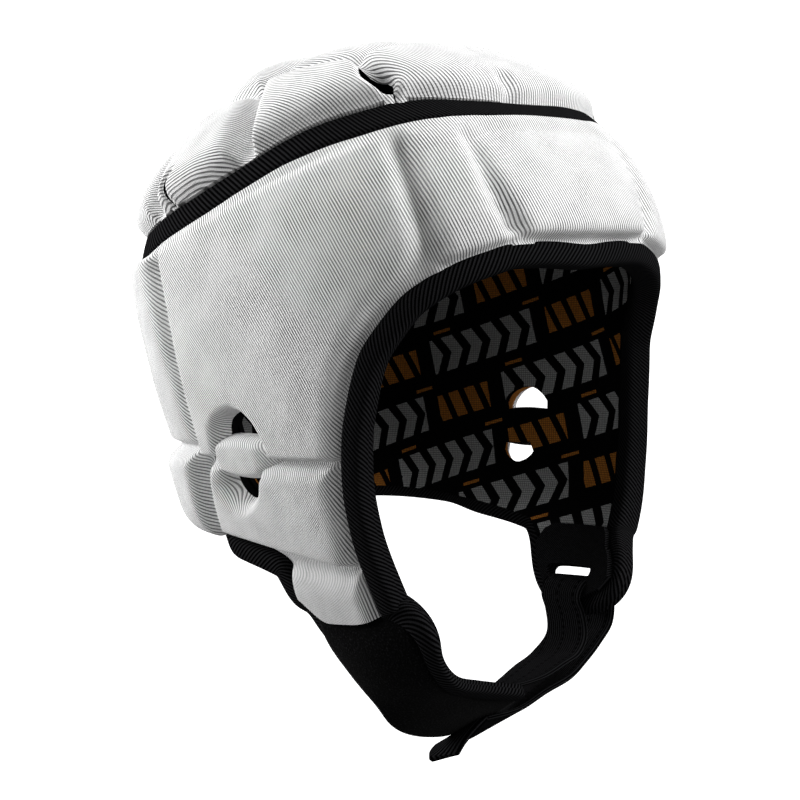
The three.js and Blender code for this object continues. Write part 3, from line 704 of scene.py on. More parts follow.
class Graph:
    """Node tree of one finish."""

    def __init__(self, name: str) -> None:
        """Starts an empty material.

        Args:
            name: Name of the material.
        """
        self.material = bpy.data.materials.new(name)
        self.material.use_nodes = True
        self.tree = self.material.node_tree
        self.tree.nodes.clear()

    def node(self, kind: str, settings: dict | None = None, **inputs: object) -> bpy.types.Node:
        """Adds a node.

        Args:
            kind: Type of the node.
            settings: Properties of the node.
            inputs: Values or sockets for its inputs, by name with _ for a space, or in0 for a number.

        Returns:
            The node.
        """
        made = self.tree.nodes.new(kind)
        for key, value in (settings or {}).items():
            setattr(made, key, value)
        for key, value in inputs.items():
            place = int(key[2:]) if key[:2] == "in" and key[2:].isdigit() else key.replace("_", " ")
            if isinstance(value, Socket):
                self.tree.links.new(value, made.inputs[place])
            else:
                made.inputs[place].default_value = value
        return made

    def math(self, operation: str, a: object, b: object = 0.0, c: object = 0.0) -> Socket:
        """Result of arithmetic on up to three values."""
        return self.node("ShaderNodeMath", {"operation": operation}, in0=a, in1=b, in2=c).outputs[0]

    def band(self, value: Socket, low: float, high: float) -> Socket:
        """Mask that is 1 where a value lies between two limits and 0 elsewhere."""
        above = self.math("GREATER_THAN", value, low)
        return self.math("MULTIPLY", above, self.math("LESS_THAN", value, high))

    def smooth(self, value: Socket, low: float, high: float) -> Socket:
        """Smooth step from 0 at low to 1 at high."""
        made = self.node(
            "ShaderNodeMapRange",
            {"interpolation_type": "SMOOTHSTEP"},
            Value=value,
            From_Min=low,
            From_Max=high,
        )
        return made.outputs["Result"]

    def noise(self, vector: Socket, scale: float, detail: float = 2.0) -> Socket:
        """Noise from 0 to 1 at a scale, with finer layers by its detail."""
        made = self.node("ShaderNodeTexNoise", None, Vector=vector, Scale=scale, Detail=detail)
        return made.outputs["Fac"]

    def mix(self, share: object, a: object, b: object) -> Socket:
        """Mix of two colours, with the share of the second."""
        return self.node("ShaderNodeMix", {"data_type": "RGBA"}, in0=share, in6=a, in7=b).outputs[2]

    def cloth(self) -> tuple[Socket, Socket, Socket]:
        """Flat place on the cloth in millimetres.

        Returns:
            The place as a vector, and its two coordinates.
        """
        place = self.node("ShaderNodeUVMap", {"uv_map": "cloth"}).outputs["UV"]
        scaled = self.node("ShaderNodeVectorMath", {"operation": "SCALE"}, Vector=place, Scale=1.0 / MM)
        parts = self.node("ShaderNodeSeparateXYZ", None, Vector=scaled.outputs[0])
        return scaled.outputs[0], parts.outputs[0], parts.outputs[1]

    def wave(self, x: Socket, y: Socket, turn: float, pitch: float, shake: Socket | None = None) -> Socket:
        """Straight ribs across the cloth.

        Args:
            x: First flat coordinate.
            y: Second flat coordinate.
            turn: Direction of the ribs in degrees.
            pitch: Distance between ribs.
            shake: Uneven shift of the ribs, or None.

        Returns:
            Height of the ribs from 0 to 1.
        """
        step = 2 * math.pi / pitch
        aside = self.math("MULTIPLY", x, math.sin(math.radians(turn)) * step)
        phase = self.math("MULTIPLY_ADD", y, -math.cos(math.radians(turn)) * step, aside)
        if shake is not None:
            phase = self.math("ADD", phase, shake)
        return self.math("MULTIPLY_ADD", self.math("SINE", phase), 0.5, 0.5)

    def finish(
        self,
        colour: object,
        roughness: object,
        height: Socket | None,
        depth: float,
        strength: float,
        sheen: float = 0.0,
    ) -> Material:
        """Ends the tree with a cloth surface.

        Args:
            colour: Colour or socket.
            roughness: Roughness or socket.
            height: Height of the fine relief.
            depth: Depth of the fine relief in millimetres.
            strength: Strength of the fine relief.
            sheen: Share of fuzz.

        Returns:
            The material.
        """
        surface = self.node(
            "ShaderNodeBsdfPrincipled",
            None,
            Base_Color=colour,
            Roughness=roughness,
            Sheen_Weight=sheen,
            Sheen_Roughness=0.5,
            Specular_IOR_Level=0.0,
        )
        if height is not None:
            bump = self.node("ShaderNodeBump", None, Strength=strength, Distance=depth * MM, Height=height)
            self.tree.links.new(bump.outputs[0], surface.inputs["Normal"])
        self.node("ShaderNodeOutputMaterial", None, Surface=surface.outputs[0])
        return self.material


@dataclass(frozen=True)
class KnitFinish:
    """White ribbed knit over foam, with painted shade in the rib valleys."""

    name: str
    lean: float
    pitch: float
    # light is the knit's own white; shade is the painted shade laid into the rib valleys.
    light: Colour = (0.97, 0.97, 0.97, 1.0)
    shade: Colour = (0.05, 0.05, 0.053, 1.0)
    drift: float = 5.0
    stitch_lean: float = 62.0
    stitch_pitch: float = 0.75
    roughness: float = 0.85
    depth: float = 0.5

    def make(self) -> Material:
        """Builds the material.

        Returns:
            The material.
        """
        g = Graph(self.name)
        place, x, y = g.cloth()
        drift = g.math("MULTIPLY", g.noise(place, 0.05), self.drift)
        rib = g.wave(x, y, self.lean, self.pitch, drift)
        stitch = g.wave(x, y, self.lean + self.stitch_lean, self.stitch_pitch)
        grain = g.noise(place, 1.6, 3.0)
        patchy = g.smooth(g.noise(place, 0.06, 3.0), 0.25, 0.75)
        crest = g.smooth(rib, 0.06, 0.62)
        level = g.math("MULTIPLY_ADD", stitch, 0.16, g.math("MULTIPLY_ADD", grain, 0.12, crest))
        strength = g.math("MULTIPLY_ADD", patchy, 0.35, 0.58)
        # Painted shade: the colour moves from light toward shade where the rib relief is low, by a patchy
        # amount.
        painted_rib_shade = g.math("SUBTRACT", 1.0, g.smooth(level, 0.1, 0.95))
        colour = g.mix(g.math("MULTIPLY", painted_rib_shade, strength), self.light, self.shade)
        return g.finish(colour, self.roughness, level, self.depth, 1.0)


@dataclass(frozen=True)
class LiningFinish:
    """Black knit with a print of grey chevrons and orange bars."""

    name: str = "printed_lining"
    row: float = 25.0
    tilt: float = 13.0
    ground: Colour = (0.003, 0.003, 0.0033, 1.0)
    grey: Colour = (0.46, 0.47, 0.47, 1.0)
    orange: Colour = (0.55, 0.21, 0.04, 1.0)
    run: float = 118.0
    row_shift: float = 41.0
    chevron_pitch: float = 13.0
    chevron_point: float = 16.0
    bar_pitch: float = 10.5
    bar_lean: float = 9.0
    tick_pitch: float = 59.0
    roughness: float = 0.85

    def make(self) -> Material:
        """Builds the material.

        Returns:
            The material.
        """
        g = Graph(self.name)
        place, x, y = g.cloth()
        sine, cosine = math.sin(math.radians(self.tilt)), math.cos(math.radians(self.tilt))
        along = g.math("MULTIPLY_ADD", x, cosine, g.math("MULTIPLY", y, sine))
        up = g.math("MULTIPLY_ADD", y, cosine, g.math("MULTIPLY", x, -sine))
        row = g.math("DIVIDE", up, self.row)
        number = g.math("FLOOR", row)
        height = g.math("SUBTRACT", row, number)
        shifted = g.math("MULTIPLY_ADD", number, self.row_shift, along)
        off = g.math("ABSOLUTE", g.math("SUBTRACT", height, 0.46))
        run = g.math("FRACT", g.math("DIVIDE", shifted, self.run))
        pointed = g.math("MULTIPLY_ADD", off, self.chevron_point, shifted)
        arrow = g.math("FRACT", g.math("DIVIDE", pointed, self.chevron_pitch))
        tall = g.math("MULTIPLY", g.math("LESS_THAN", off, 0.33), g.band(run, 0.02, 0.58))
        chevrons = g.math("MULTIPLY", g.band(arrow, 0.0, 0.56), tall)
        leaned = g.math("MULTIPLY_ADD", height, self.bar_lean, shifted)
        lean = g.math("FRACT", g.math("DIVIDE", leaned, self.bar_pitch))
        short = g.math("MULTIPLY", g.math("LESS_THAN", off, 0.25), g.band(run, 0.66, 0.94))
        bars = g.math("MULTIPLY", g.band(lean, 0.0, 0.62), short)
        dash = g.math("FRACT", g.math("DIVIDE", shifted, self.tick_pitch))
        ticks = g.math("MULTIPLY", g.band(height, 0.88, 0.94), g.band(dash, 0.1, 0.28))
        loops = g.math("MULTIPLY", g.wave(x, y, 90.0, 1.15), g.wave(x, y, 0.0, 1.0))
        weave = g.smooth(loops, 0.02, 0.5)
        fuzz = g.noise(place, 1.1, 3.0)
        ink = g.math("MULTIPLY_ADD", weave, 0.5, g.math("MULTIPLY_ADD", fuzz, 0.5, 0.12))
        colour = g.mix(g.math("MULTIPLY", chevrons, ink), self.ground, self.grey)
        colour = g.mix(g.math("MULTIPLY", g.math("MAXIMUM", bars, ticks), ink), colour, self.orange)
        level = g.math("MULTIPLY_ADD", fuzz, 0.3, weave)
        return g.finish(colour, self.roughness, level, 0.2, 0.5)


@dataclass(frozen=True)
class RibbedFinish:
    """Black ribbed cloth: tape, binding or webbing, with a painted highlight on its rib crests."""

    name: str
    lean: float
    pitch: float
    depth: float = 0.3
    # colour is the cloth's black; crest is a painted highlight for the rib tops.
    colour: Colour = (0.0008, 0.0008, 0.0009, 1.0)
    crest: Colour = (0.015, 0.015, 0.016, 1.0)
    seams: tuple[float, ...] = ()
    stitch: float = 3.0
    yarn_lean: float = 78.0
    yarn_pitch: float = 0.8
    roughness: float = 0.72

    def make(self) -> Material:
        """Builds the material.

        Returns:
            The material.
        """
        g = Graph(self.name)
        place, x, y = g.cloth()
        grain = g.noise(place, 1.4, 3.0)
        rib = g.wave(x, y, self.lean, self.pitch, g.math("MULTIPLY", grain, 0.9))
        yarn = g.wave(x, y, self.lean + self.yarn_lean, self.yarn_pitch)
        crest = g.math("MULTIPLY_ADD", grain, 0.2, g.smooth(rib, 0.1, 0.9))
        level = g.math("MULTIPLY_ADD", yarn, 0.22, crest)
        for across in self.seams:
            near = g.math("ABSOLUTE", g.math("SUBTRACT", y, across))
            groove = g.math("SUBTRACT", 1.0, g.smooth(near, 0.2, 0.9))
            thread = g.wave(x, y, 90.0, self.stitch)
            dip = g.math("MULTIPLY", groove, g.math("MULTIPLY_ADD", thread, -1.3, 0.2))
            level = g.math("ADD", level, dip)
        # Painted highlight: the colour lightens toward crest where the relief is high, so the valleys and
        # stitched seam grooves stay darker as painted shade.
        colour = g.mix(g.smooth(level, 0.2, 1.2), self.colour, self.crest)
        return g.finish(colour, self.roughness, level, self.depth, 0.8)


@dataclass(frozen=True)
class PlushFinish:
    """Black brushed loop cloth, with a painted highlight on its highest loops."""

    name: str = "brushed_loop"
    colour: Colour = (0.001, 0.001, 0.0011, 1.0)
    # tip is a painted highlight for the tops of the loops.
    tip: Colour = (0.013, 0.013, 0.014, 1.0)

    def make(self) -> Material:
        """Builds the material.

        Returns:
            The material.
        """
        g = Graph(self.name)
        place, _, _ = g.cloth()
        loops = g.noise(place, 1.3, 4.0)
        nap = g.noise(place, 0.22, 2.0)
        level = g.math("MULTIPLY_ADD", nap, 0.4, loops)
        # Painted highlight: the colour lightens toward tip where the loops stand highest.
        painted_loop_highlight = g.smooth(loops, 0.52, 0.74)
        colour = g.mix(painted_loop_highlight, self.colour, self.tip)
        return g.finish(colour, 0.95, level, 0.6, 0.8, 0.03)


@dataclass(frozen=True)
class PlainFinish:
    """Plain surface with a fine grain."""

    name: str
    colour: Colour
    roughness: float = 0.9

    def make(self) -> Material:
        """Builds the material.

        Returns:
            The material.
        """
        g = Graph(self.name)
        place = g.node("ShaderNodeTexCoord").outputs["Object"]
        grain = g.noise(place, 900.0, 3.0)
        colour = g.mix(g.math("MULTIPLY", grain, 0.25), self.colour, (0.0, 0.0, 0.0, 1.0))
        return g.finish(colour, self.roughness, grain, 0.15, 0.4)


@dataclass
class Piece:
    """One piece of the helmet, gathered from patches."""

    name: str
    slot: str
    finishes: list[Material]
    more_nodes: tuple[str, ...] = ()
    patches: list[Patch] = field(default_factory=list)

    def add(self, *patches: Patch) -> None:
        """Adds patches."""
        self.patches.extend(patches)

    def make(self) -> Item:
        """Builds the object and seats it in the frame.

        Returns:
            The object.
        """
        points = np.concatenate([patch.points for patch in self.patches])
        cloth = np.concatenate([patch.cloth for patch in self.patches])
        starts = np.cumsum([0, *[len(patch.points) for patch in self.patches]])
        faces = [
            tuple(int(start) + k for k in face)
            for patch, start in zip(self.patches, starts)
            for face in patch.faces
        ]
        finish = np.concatenate([np.full(len(patch.faces), patch.finish) for patch in self.patches])
        mesh = bpy.data.meshes.new(f"look_{self.name}")
        mesh.from_pydata(FORM.row_frame(points).tolist(), [], faces)
        for material in self.finishes:
            mesh.materials.append(material)
        mesh.polygons.foreach_set("material_index", finish.astype(np.int32))
        mesh.polygons.foreach_set("use_smooth", np.ones(len(faces), bool))
        corners = np.zeros(len(mesh.loops), np.int32)
        mesh.loops.foreach_get("vertex_index", corners)
        layer = mesh.uv_layers.new(name="cloth")
        layer.data.foreach_set("uv", (cloth[corners] * MM).astype(np.float32).ravel())
        mesh.validate()
        mesh.update()
        made = bpy.data.objects.new(f"look_{self.name}", mesh)
        bpy.context.scene.collection.objects.link(made)
        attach(made, "root")
        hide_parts(self.name, *self.more_nodes)
        LOG.info("%s: %d points, %d faces", made.name, len(points), len(faces))
        return made


class Relief:
    """Height of padded cloth over a flat chart, on a fine raster."""

    step: float = 0.7
    bowl_power: float = 1.6
    pad_margin: float = 2.0
    dish_margin: float = 1.0
    crease_margin: float = 4.0
    crisp_blend: float = 2.0
    end_margin: float = 1.001

    def __init__(self, low: Pair, high: Pair, floor: float) -> None:
        """Lays out the raster.

        Args:
            low: Lowest flat place.
            high: Highest flat place.
            floor: Height between the pads.
        """
        self.low = low
        xs = np.arange(low[0], high[0] + self.step, self.step)
        ys = np.arange(low[1], high[1] + self.step, self.step)
        self.x, self.y = np.meshgrid(xs, ys)
        self.floor = np.full(self.x.shape, floor)
        self.height = self.floor.copy()

    def window(self, outline: Array, margin: float) -> tuple[slice, slice]:
        """Part of the raster round an outline.

        Args:
            outline: Corners of the outline.
            margin: How far past the outline it reaches.

        Returns:
            Slices of rows and columns.
        """
        start = (outline.min(axis=0) - margin - self.low) / self.step
        stop = (outline.max(axis=0) + margin - self.low) / self.step
        limits = self.x.shape[::-1]
        parts = [
            slice(int(np.clip(a, 0, most)), int(np.clip(b + 2, 0, most)))
            for a, b, most in zip(start, stop, limits)
        ]
        return parts[1], parts[0]

    def raise_pad(
        self,
        edges: list[Array],
        rolls: tuple[float, ...],
        tops: Pair,
        share: Array | None = None,
    ) -> None:
        """Raises a pad with rolled edges.

        Args:
            edges: Lines that go round the pad: front, lower, rear and upper edge.
            rolls: Width of the roll at each edge.
            tops: Heights of its top at its upper and lower end.
            share: Share from upper to lower end over the raster, or None to go by height.
        """
        outline = np.vstack(edges)
        part = self.window(outline, self.pad_margin)
        x, y = self.x[part], self.y[part]
        deep = np.ones(x.shape)
        for edge, roll in zip(edges, rolls):
            deep = np.minimum(deep, away_from(edge, x, y) / roll)
        if share is None:
            top, foot = outline[:, 1].max(), outline[:, 1].min()
            down = np.clip((top - y) / (top - foot), 0.0, 1.0)
        else:
            down = share[part]
        crown = np.sqrt(np.maximum(1.0 - (1.0 - deep) ** 2, 0.0))
        raised = lerp(self.floor[part], lerp(tops[0], tops[1], down), crown)
        inside = inset(outline, x, y) > 0
        self.height[part] = np.where(inside, np.maximum(self.height[part], raised), self.height[part])

    def crease(self, line: Array, depth: float, width: float) -> None:
        """Presses a crease along a line.

        Args:
            line: Points of the line.
            depth: Depth of the crease.
            width: Half width of the crease.
        """
        part = self.window(line, self.crease_margin * width)
        far = away_from(line, self.x[part], self.y[part])
        self.height[part] -= depth * np.exp(-((far / width) ** 2))

    def soften(self, reach: float, crisp: Array | None = None, crisp_reach: float = 0.8) -> None:
        """Draws the cloth smooth over the pads.

        Args:
            reach: How far the cloth bridges.
            crisp: Where it follows the pads closely, from 0 to 1.
            crisp_reach: How far it bridges there.
        """
        soft = self.blur(self.height, reach)
        if crisp is not None:
            close = self.blur(self.height, crisp_reach)
            soft = lerp(soft, close, self.blur(crisp, self.crisp_blend))
        self.height = soft

    def blur(self, field_: Array, reach: float) -> Array:
        """Smooths a raster.

        Args:
            field_: Values to smooth.
            reach: Width of the smoothing.

        Returns:
            Smoothed values.
        """
        width = reach / self.step
        half = max(1, int(math.ceil(3 * width)))
        for axis in (0, 1):
            field_ = smoothed(field_, width, half, axis)
        return field_

    def sink(self, rim: Array, hole: Array, depth: float) -> None:
        """Sinks a dish between its rim and the hole in it.

        Args:
            rim: Outline where the dish starts.
            hole: Outline of the hole.
            depth: Height at the hole.
        """
        part = self.window(rim, self.dish_margin)
        x, y = self.x[part], self.y[part]
        inside = np.maximum(inset(rim, x, y), 0.0)
        outside = np.maximum(-inset(hole, x, y), 0.0)
        share = inside / np.maximum(inside + outside, TINY)
        dip = 1.0 - np.sqrt(np.maximum(1.0 - share**self.bowl_power, 0.0))
        bowl = lerp(self.height[part], depth, dip)
        self.height[part] = np.where(inside > 0, np.minimum(bowl, self.height[part]), self.height[part])

    def sample(self, x: Array, y: Array) -> Array:
        """Looks the height up.

        Args:
            x: First flat coordinates.
            y: Second flat coordinates.

        Returns:
            Heights.
        """
        rows, columns = self.x.shape
        column = np.clip((x - self.low[0]) / self.step, 0.0, columns - self.end_margin)
        row = np.clip((y - self.low[1]) / self.step, 0.0, rows - self.end_margin)
        i, j = column.astype(int), row.astype(int)
        s, t = column - i, row - j
        near = lerp(self.height[j, i], self.height[j, i + 1], s)
        far = lerp(self.height[j + 1, i], self.height[j + 1, i + 1], s)
        return lerp(near, far, t)


@dataclass(frozen=True)
class Pad:
    """Padded section: its front and rear edges from top to bottom, its top heights and its rolled edge."""

    front: Rows
    rear: Rows
    tops: Pair
    rolls: tuple[float, float, float, float]

    def edges(self, side: Side, past: float = 0.0) -> list[Array]:
        """Flat edges round the pad.

        Args:
            side: Side of the head.
            past: How far its rear edge is moved on.

        Returns:
            Front, lower, rear and upper edge.
        """
        front = spline(FLAT.outline(self.front, side), EDGE_POINTS)
        rear = spline(FLAT.outline(self.rear, side), EDGE_POINTS)
        rear[:, 0] += side.value * past
        low = np.stack([front[-1], rear[-1]])
        top = np.stack([rear[0], front[0]])
        return [front, low, rear[::-1], top]


@dataclass(frozen=True)
class EarOpening:
    """Ear opening: rims and holes of its upper and lower dish, and the bar between them."""

    upper_rim: Rows = (
        (100.5, -74), (101.8, -67), (101.5, -60), (99, -55.5), (95.5, -52), (91, -50), (87.5, -51.2),
        (84.5, -54), (82, -57.5), (80.3, -62), (79, -66), (78, -70.5), (77.6, -75), (88, -76.5),
    )
    upper_hole: Rows = (
        (97, -70), (97.5, -64), (96, -59), (93, -56), (90, -55), (87, -55.6), (84.8, -57.8), (82.8, -61),
        (81.2, -65), (80.2, -69), (88, -71),
    )
    lower_rim: Rows = (
        (100, -75), (105, -80), (106, -86), (103.5, -92), (99, -96), (94, -97), (90, -95), (86.8, -91),
        (84.6, -87), (83.6, -82.5), (81.6, -77.5), (90, -74),
    )
    lower_hole: Rows = (
        (98, -78), (98.8, -83), (97.5, -87.5), (94.5, -90.5), (91.5, -90.8), (88.6, -89), (86.4, -86),
        (85.2, -82), (84.6, -79), (90, -77),
    )
    bar: Rows = (
        (100.7, -66.3), (101.8, -69.2), (102, -73), (101.6, -77), (100.2, -79.8), (96.5, -81.4), (91, -82.2),
        (86, -82), (81, -79.6), (77, -77), (72, -75.6), (72, -73.4), (75, -71.4), (78, -68),
        (82, -65.8), (87, -64.8), (92, -64.4), (97, -64.8),
    )
    dish_depth: float = -9.0
    bar_root: float = -8.7
    bar_top: float = -0.3
    bar_front: float = -6.2
    bar_rise: Pair = (74.0, 85.0)
    bar_roll: float = 4.2
    bar_heart: Pair = (91.0, -73.0)
    bar_corners: int = 120
    bar_rings: int = 26
    bar_packing: float = 1.6
    bar_closing: float = 0.995

    def ring(self, stops: Rows, side: Side, count: int = 110) -> Array:
        """Smooth closed outline.

        Args:
            stops: Chart places round the outline.
            side: Side of the head.
            count: How many corners it gets.

        Returns:
            Flat corners.
        """
        flat = FLAT.outline(stops, side)
        half = 300
        curve = spline(np.vstack([flat[-2:], flat, flat[:3]]), 2 * half)
        far = np.linalg.norm(curve - flat[0], axis=1)
        start = int(np.argmin(far[:half]))
        stop = half + int(np.argmin(far[half:]))
        return evenly(curve[start : stop + 1], count + 1)[:-1]

    def bar_patch(self, side: Side) -> Patch:
        """Cushion that crosses the opening.

        Args:
            side: Side of the head.

        Returns:
            The cushion.
        """
        edge = self.ring(self.bar, side, self.bar_corners)
        heart = FLAT.outline((self.bar_heart,), side)[0]
        shrinks = 1.0 - np.linspace(0.0, 1.0, self.bar_rings) ** self.bar_packing * self.bar_closing
        rings = heart + shrinks[:, None, None] * (edge - heart)
        deep = np.clip(inset(edge, rings[..., 0], rings[..., 1]) / self.bar_roll, 0.0, 1.0)
        ahead = np.abs(FLAT.longitude(rings[..., 0]))
        top = lerp(self.bar_front, self.bar_top, ease(ahead, *self.bar_rise))
        height = lerp(self.bar_root, top, np.sqrt(1.0 - (1.0 - deep) ** 2))
        rings, height = (np.concatenate([part, part[:, :1]], axis=1) for part in (rings, height))
        points = FORM.place(FLAT.longitude(rings[..., 0]), rings[..., 1], height)
        faces = listed(grid_faces(*height.shape))
        return Patch(points.reshape(-1, 3), faces, develop(rings).reshape(-1, 2))


def develop(flat: Array) -> Array:
    """Cloth places of flat places: the band is cut as part of a ring, so its ribs turn round the head.

    Args:
        flat: Flat places.

    Returns:
        Cloth places.
    """
    reach = 320.0
    turn = flat[..., 0] / reach
    far = reach - flat[..., 1]
    return np.stack([far * np.sin(turn), reach - far * np.cos(turn)], axis=-1)


def spaced(stops: Rows) -> Array:
    """Steps of changing size along a line.

    Args:
        stops: Pairs of a place and the step size from there on; the last pair ends the line.

    Returns:
        Places.
    """
    runs = []
    for (start, step), (stop, _) in zip(stops, stops[1:]):
        count = max(1, round((stop - start) / step))
        runs.append(np.linspace(start, stop, count, endpoint=False))
    return np.concatenate([*runs, [stops[-1][0]]])


@dataclass
class SidePanel:
    """White padded band round the head, with the ear openings."""

    knit: Material
    foam: Material
    dark: Material
    floor: float = -6.0
    low: float = -145.0
    high: float = 72.0
    margin: float = 2.0
    pads: tuple[Pad, ...] = (
        Pad(
            ((26.5, 58.5), (23.5, 30), (19.3, 7.2)),
            ((40.3, 55), (37.2, 28), (33.4, -0.8)),
            (-0.5, 2.0),
            (6.5, 5.0, 7.0, 6.5),
        ),
        Pad(
            ((43, 53.5), (39.5, 28), (38, 2), (48, -19), (55, -44), (58, -74)),
            ((117, 12), (113, -14), (110, -46), (107.5, -74)),
            (0.5, 0.5),
            (9.0, 2.2, 3.0, 2.0),
        ),
        Pad(
            ((59, -75.2), (58.5, -95), (57, -117)),
            ((106, -75.2), (108, -90), (109, -106)),
            (0.5, 0.5),
            (9.0, 2.4, 3.0, 7.5),
        ),
    )
    toe: Pad = Pad(
        ((55.5, -118.2), (51, -142)), ((82, -117.2), (82, -142)), (0.0, -0.5), (7.0, 2.5, 3.0, 11.0)
    )
    forehead: Pad = Pad(
        ((24.5, 59.5), (21.5, 30), (17, 8.0)),
        ((-24.5, 59.5), (-21.5, 30), (-17, 8.0)),
        (-3.5, 4.0),
        (6.5, 5.5, 7.0, 6.5),
    )
    back: tuple[Pad, ...] = (
        Pad(
            ((120, 10), (115, -14), (112, -40), (109.7, -69)),
            ((180, 1), (180, -69)),
            (3, -1.0),
            (9.0, 3.0, 6.0, 3.0),
        ),
        Pad(
            ((109, -70.5), (110.5, -84), (111, -108.5)),
            ((180, -70.5), (180, -103)),
            (3.5, 5.0),
            (8.0, 14.0, 6.0, 7.0),
        ),
    )
    back_past: float = 12.0
    ear: EarOpening = EarOpening()
    groove_lifts: dict[Side, float] = field(default_factory=lambda: {Side.RIGHT: 2.6, Side.LEFT: 4.6})
    groove_width: float = 6.0
    seam_lift: float = 4.4
    seam_zone: Pair = (-10.0, -2.5)
    brow_lift: float = 3.4
    brow_zone: Pair = (7.0, 4.0)
    brow_turns: Pair = (38.0, 33.0)
    brow_low: float = -12.0
    floor_top: float = -1.2
    crisp_zone: Pair = (22.0, 12.0)
    soft_reach: float = 1.5
    crisp_reach: float = 0.8
    cloth_reach: float = 0.6
    unevenness: float = 0.18
    wave_seed: int = 5
    wave_length: float = 34.0
    brow_crease: Pair = (3.0, 1.2)
    pad_crease: Pair = (2.6, 1.2)
    rear_crease: Pair = (1.4, 0.9)
    seam_crease: Pair = (0.5, 0.6)
    seam_crease_turns: Pair = (44.0, 116.0)
    seam_crease_drop: float = 4.4
    fineness: dict[Side, float] = field(default_factory=lambda: {Side.RIGHT: 0.6, Side.LEFT: 1.0})
    hole_finish: dict[Side, int] = field(default_factory=lambda: {Side.RIGHT: 2, Side.LEFT: 1})

    def relief(self) -> Relief:
        """Height of the panel's cloth.

        Returns:
            The relief.
        """
        left, right = FLAT.far[0] - self.margin, FLAT.far[-1] + self.margin
        relief = Relief((left, self.low), (right, self.high), self.floor)
        turn = np.abs(FLAT.longitude(relief.x))
        near_seam = ease(relief.y - GRID.seam.at(turn), *self.seam_zone)
        near_brow = ease(relief.y - GRID.brow.at(turn), *self.brow_zone) * ease(turn, *self.brow_turns)
        near_brow = near_brow * (relief.y > self.brow_low)
        relief.floor += self.seam_lift * near_seam + self.brow_lift * near_brow
        for side, lift in self.groove_lifts.items():
            far = away_from(self.forehead.edges(side)[0], relief.x, relief.y)
            relief.floor += lift * np.exp(-((far / self.groove_width) ** 2))
        relief.floor = np.minimum(relief.floor, self.floor_top)
        relief.height = relief.floor.copy()
        relief.raise_pad(self.forehead.edges(Side.RIGHT), self.forehead.rolls, self.forehead.tops)
        for side in Side:
            for pad in (*self.pads, *((self.toe,) if side is Side.RIGHT else ())):
                relief.raise_pad(pad.edges(side), pad.rolls, pad.tops)
            for pad in self.back:
                relief.raise_pad(pad.edges(side, self.back_past), pad.rolls, pad.tops)
        relief.soften(self.soft_reach, ease(relief.y, *self.crisp_zone), self.crisp_reach)
        self.press(relief)
        ear = self.ear
        for side in Side:
            for rim, hole in ((ear.upper_rim, ear.upper_hole), (ear.lower_rim, ear.lower_hole)):
                relief.sink(ear.ring(rim, side), ear.ring(hole, side), ear.dish_depth)
        relief.height = relief.blur(relief.height, self.cloth_reach)
        relief.height += self.unevenness * ripple(relief.x, relief.y, self.wave_seed, self.wave_length)
        return relief

    def press(self, relief: Relief) -> None:
        """Presses the sewn creases into the cloth.

        Args:
            relief: Height of the cloth.
        """
        _, brow, _, _ = self.forehead.edges(Side.RIGHT)
        relief.crease(brow, *self.brow_crease)
        for side in Side:
            _, low, _, _ = self.pads[0].edges(side)
            relief.crease(low, *self.brow_crease)
            turn = np.linspace(*self.seam_crease_turns, EDGE_POINTS)
            line = FLAT.outline(tuple(zip(turn, GRID.seam.at(turn) - self.seam_crease_drop)), side)
            relief.crease(line, *self.seam_crease)
            for pad in self.pads[1:]:
                _, low, rear, _ = pad.edges(side)
                relief.crease(low, *self.pad_crease)
                relief.crease(rear, *self.rear_crease)

    def half(self, side: Side, relief: Relief) -> list[Patch]:
        """One side of the panel.

        Args:
            side: Side of the head.
            relief: Height of the cloth.

        Returns:
            Patches of the cloth, its edges and the walls of its holes.
        """
        fine = self.fineness[side]
        columns = spaced(((0, 1 / 50), (1, 1 / 80), (1.55, fine / 100), (2.25, 1 / 95), (3, 1)))
        levels = spaced(((0, 1 / 52), (1, 1 / 80), (1.39, fine / 112), (1.86, 1 / 150), (2, 1 / 30), (3, 1)))
        holes = [self.ear.ring(stops, side) for stops in (self.ear.upper_hole, self.ear.lower_hole)]
        x, y, faces, edges = cover(columns, levels, side, holes)
        longitude = FLAT.longitude(x)
        top = FORM.place(longitude, y, relief.sample(x, y)).reshape(-1, 3)
        foot = FORM.place(longitude, y, Layer.SHELL_INNER.value).reshape(-1, 3)
        cloth = develop(np.stack([x, y], axis=-1)).reshape(-1, 2)
        at_hole = np.zeros(x.size, bool)
        for hole in holes:
            at_hole |= np.abs(inset(hole, x, y)).ravel() < ON_EDGE
        hole_edge = at_hole[edges].all(axis=1)
        return [
            Patch(top, listed(faces), cloth),
            skirt(top, foot, cloth, edges[~hole_edge]),
            skirt(top, foot, cloth, edges[hole_edge], self.hole_finish[side]),
            self.ear.bar_patch(side),
        ]

    def make(self) -> Item:
        """Builds the panel.

        Returns:
            The panel.
        """
        ears = ("right_ear_panel", "left_ear_panel")
        piece = Piece("side_panel", "white_fabric", [self.knit, self.foam, self.dark], ears)
        relief = self.relief()
        for side in Side:
            piece.add(*self.half(side, relief))
        return piece.make()


@dataclass(frozen=True)
class Lobe:
    """Crown lobe: its upper edge in plan, the stretch of the crown's foot below it, and its heights."""

    top: Rows
    seam: Pair
    tops: Pair
    rolls: tuple[float, float, float, float] = (11.0, 9.0, 12.0, 9.0)


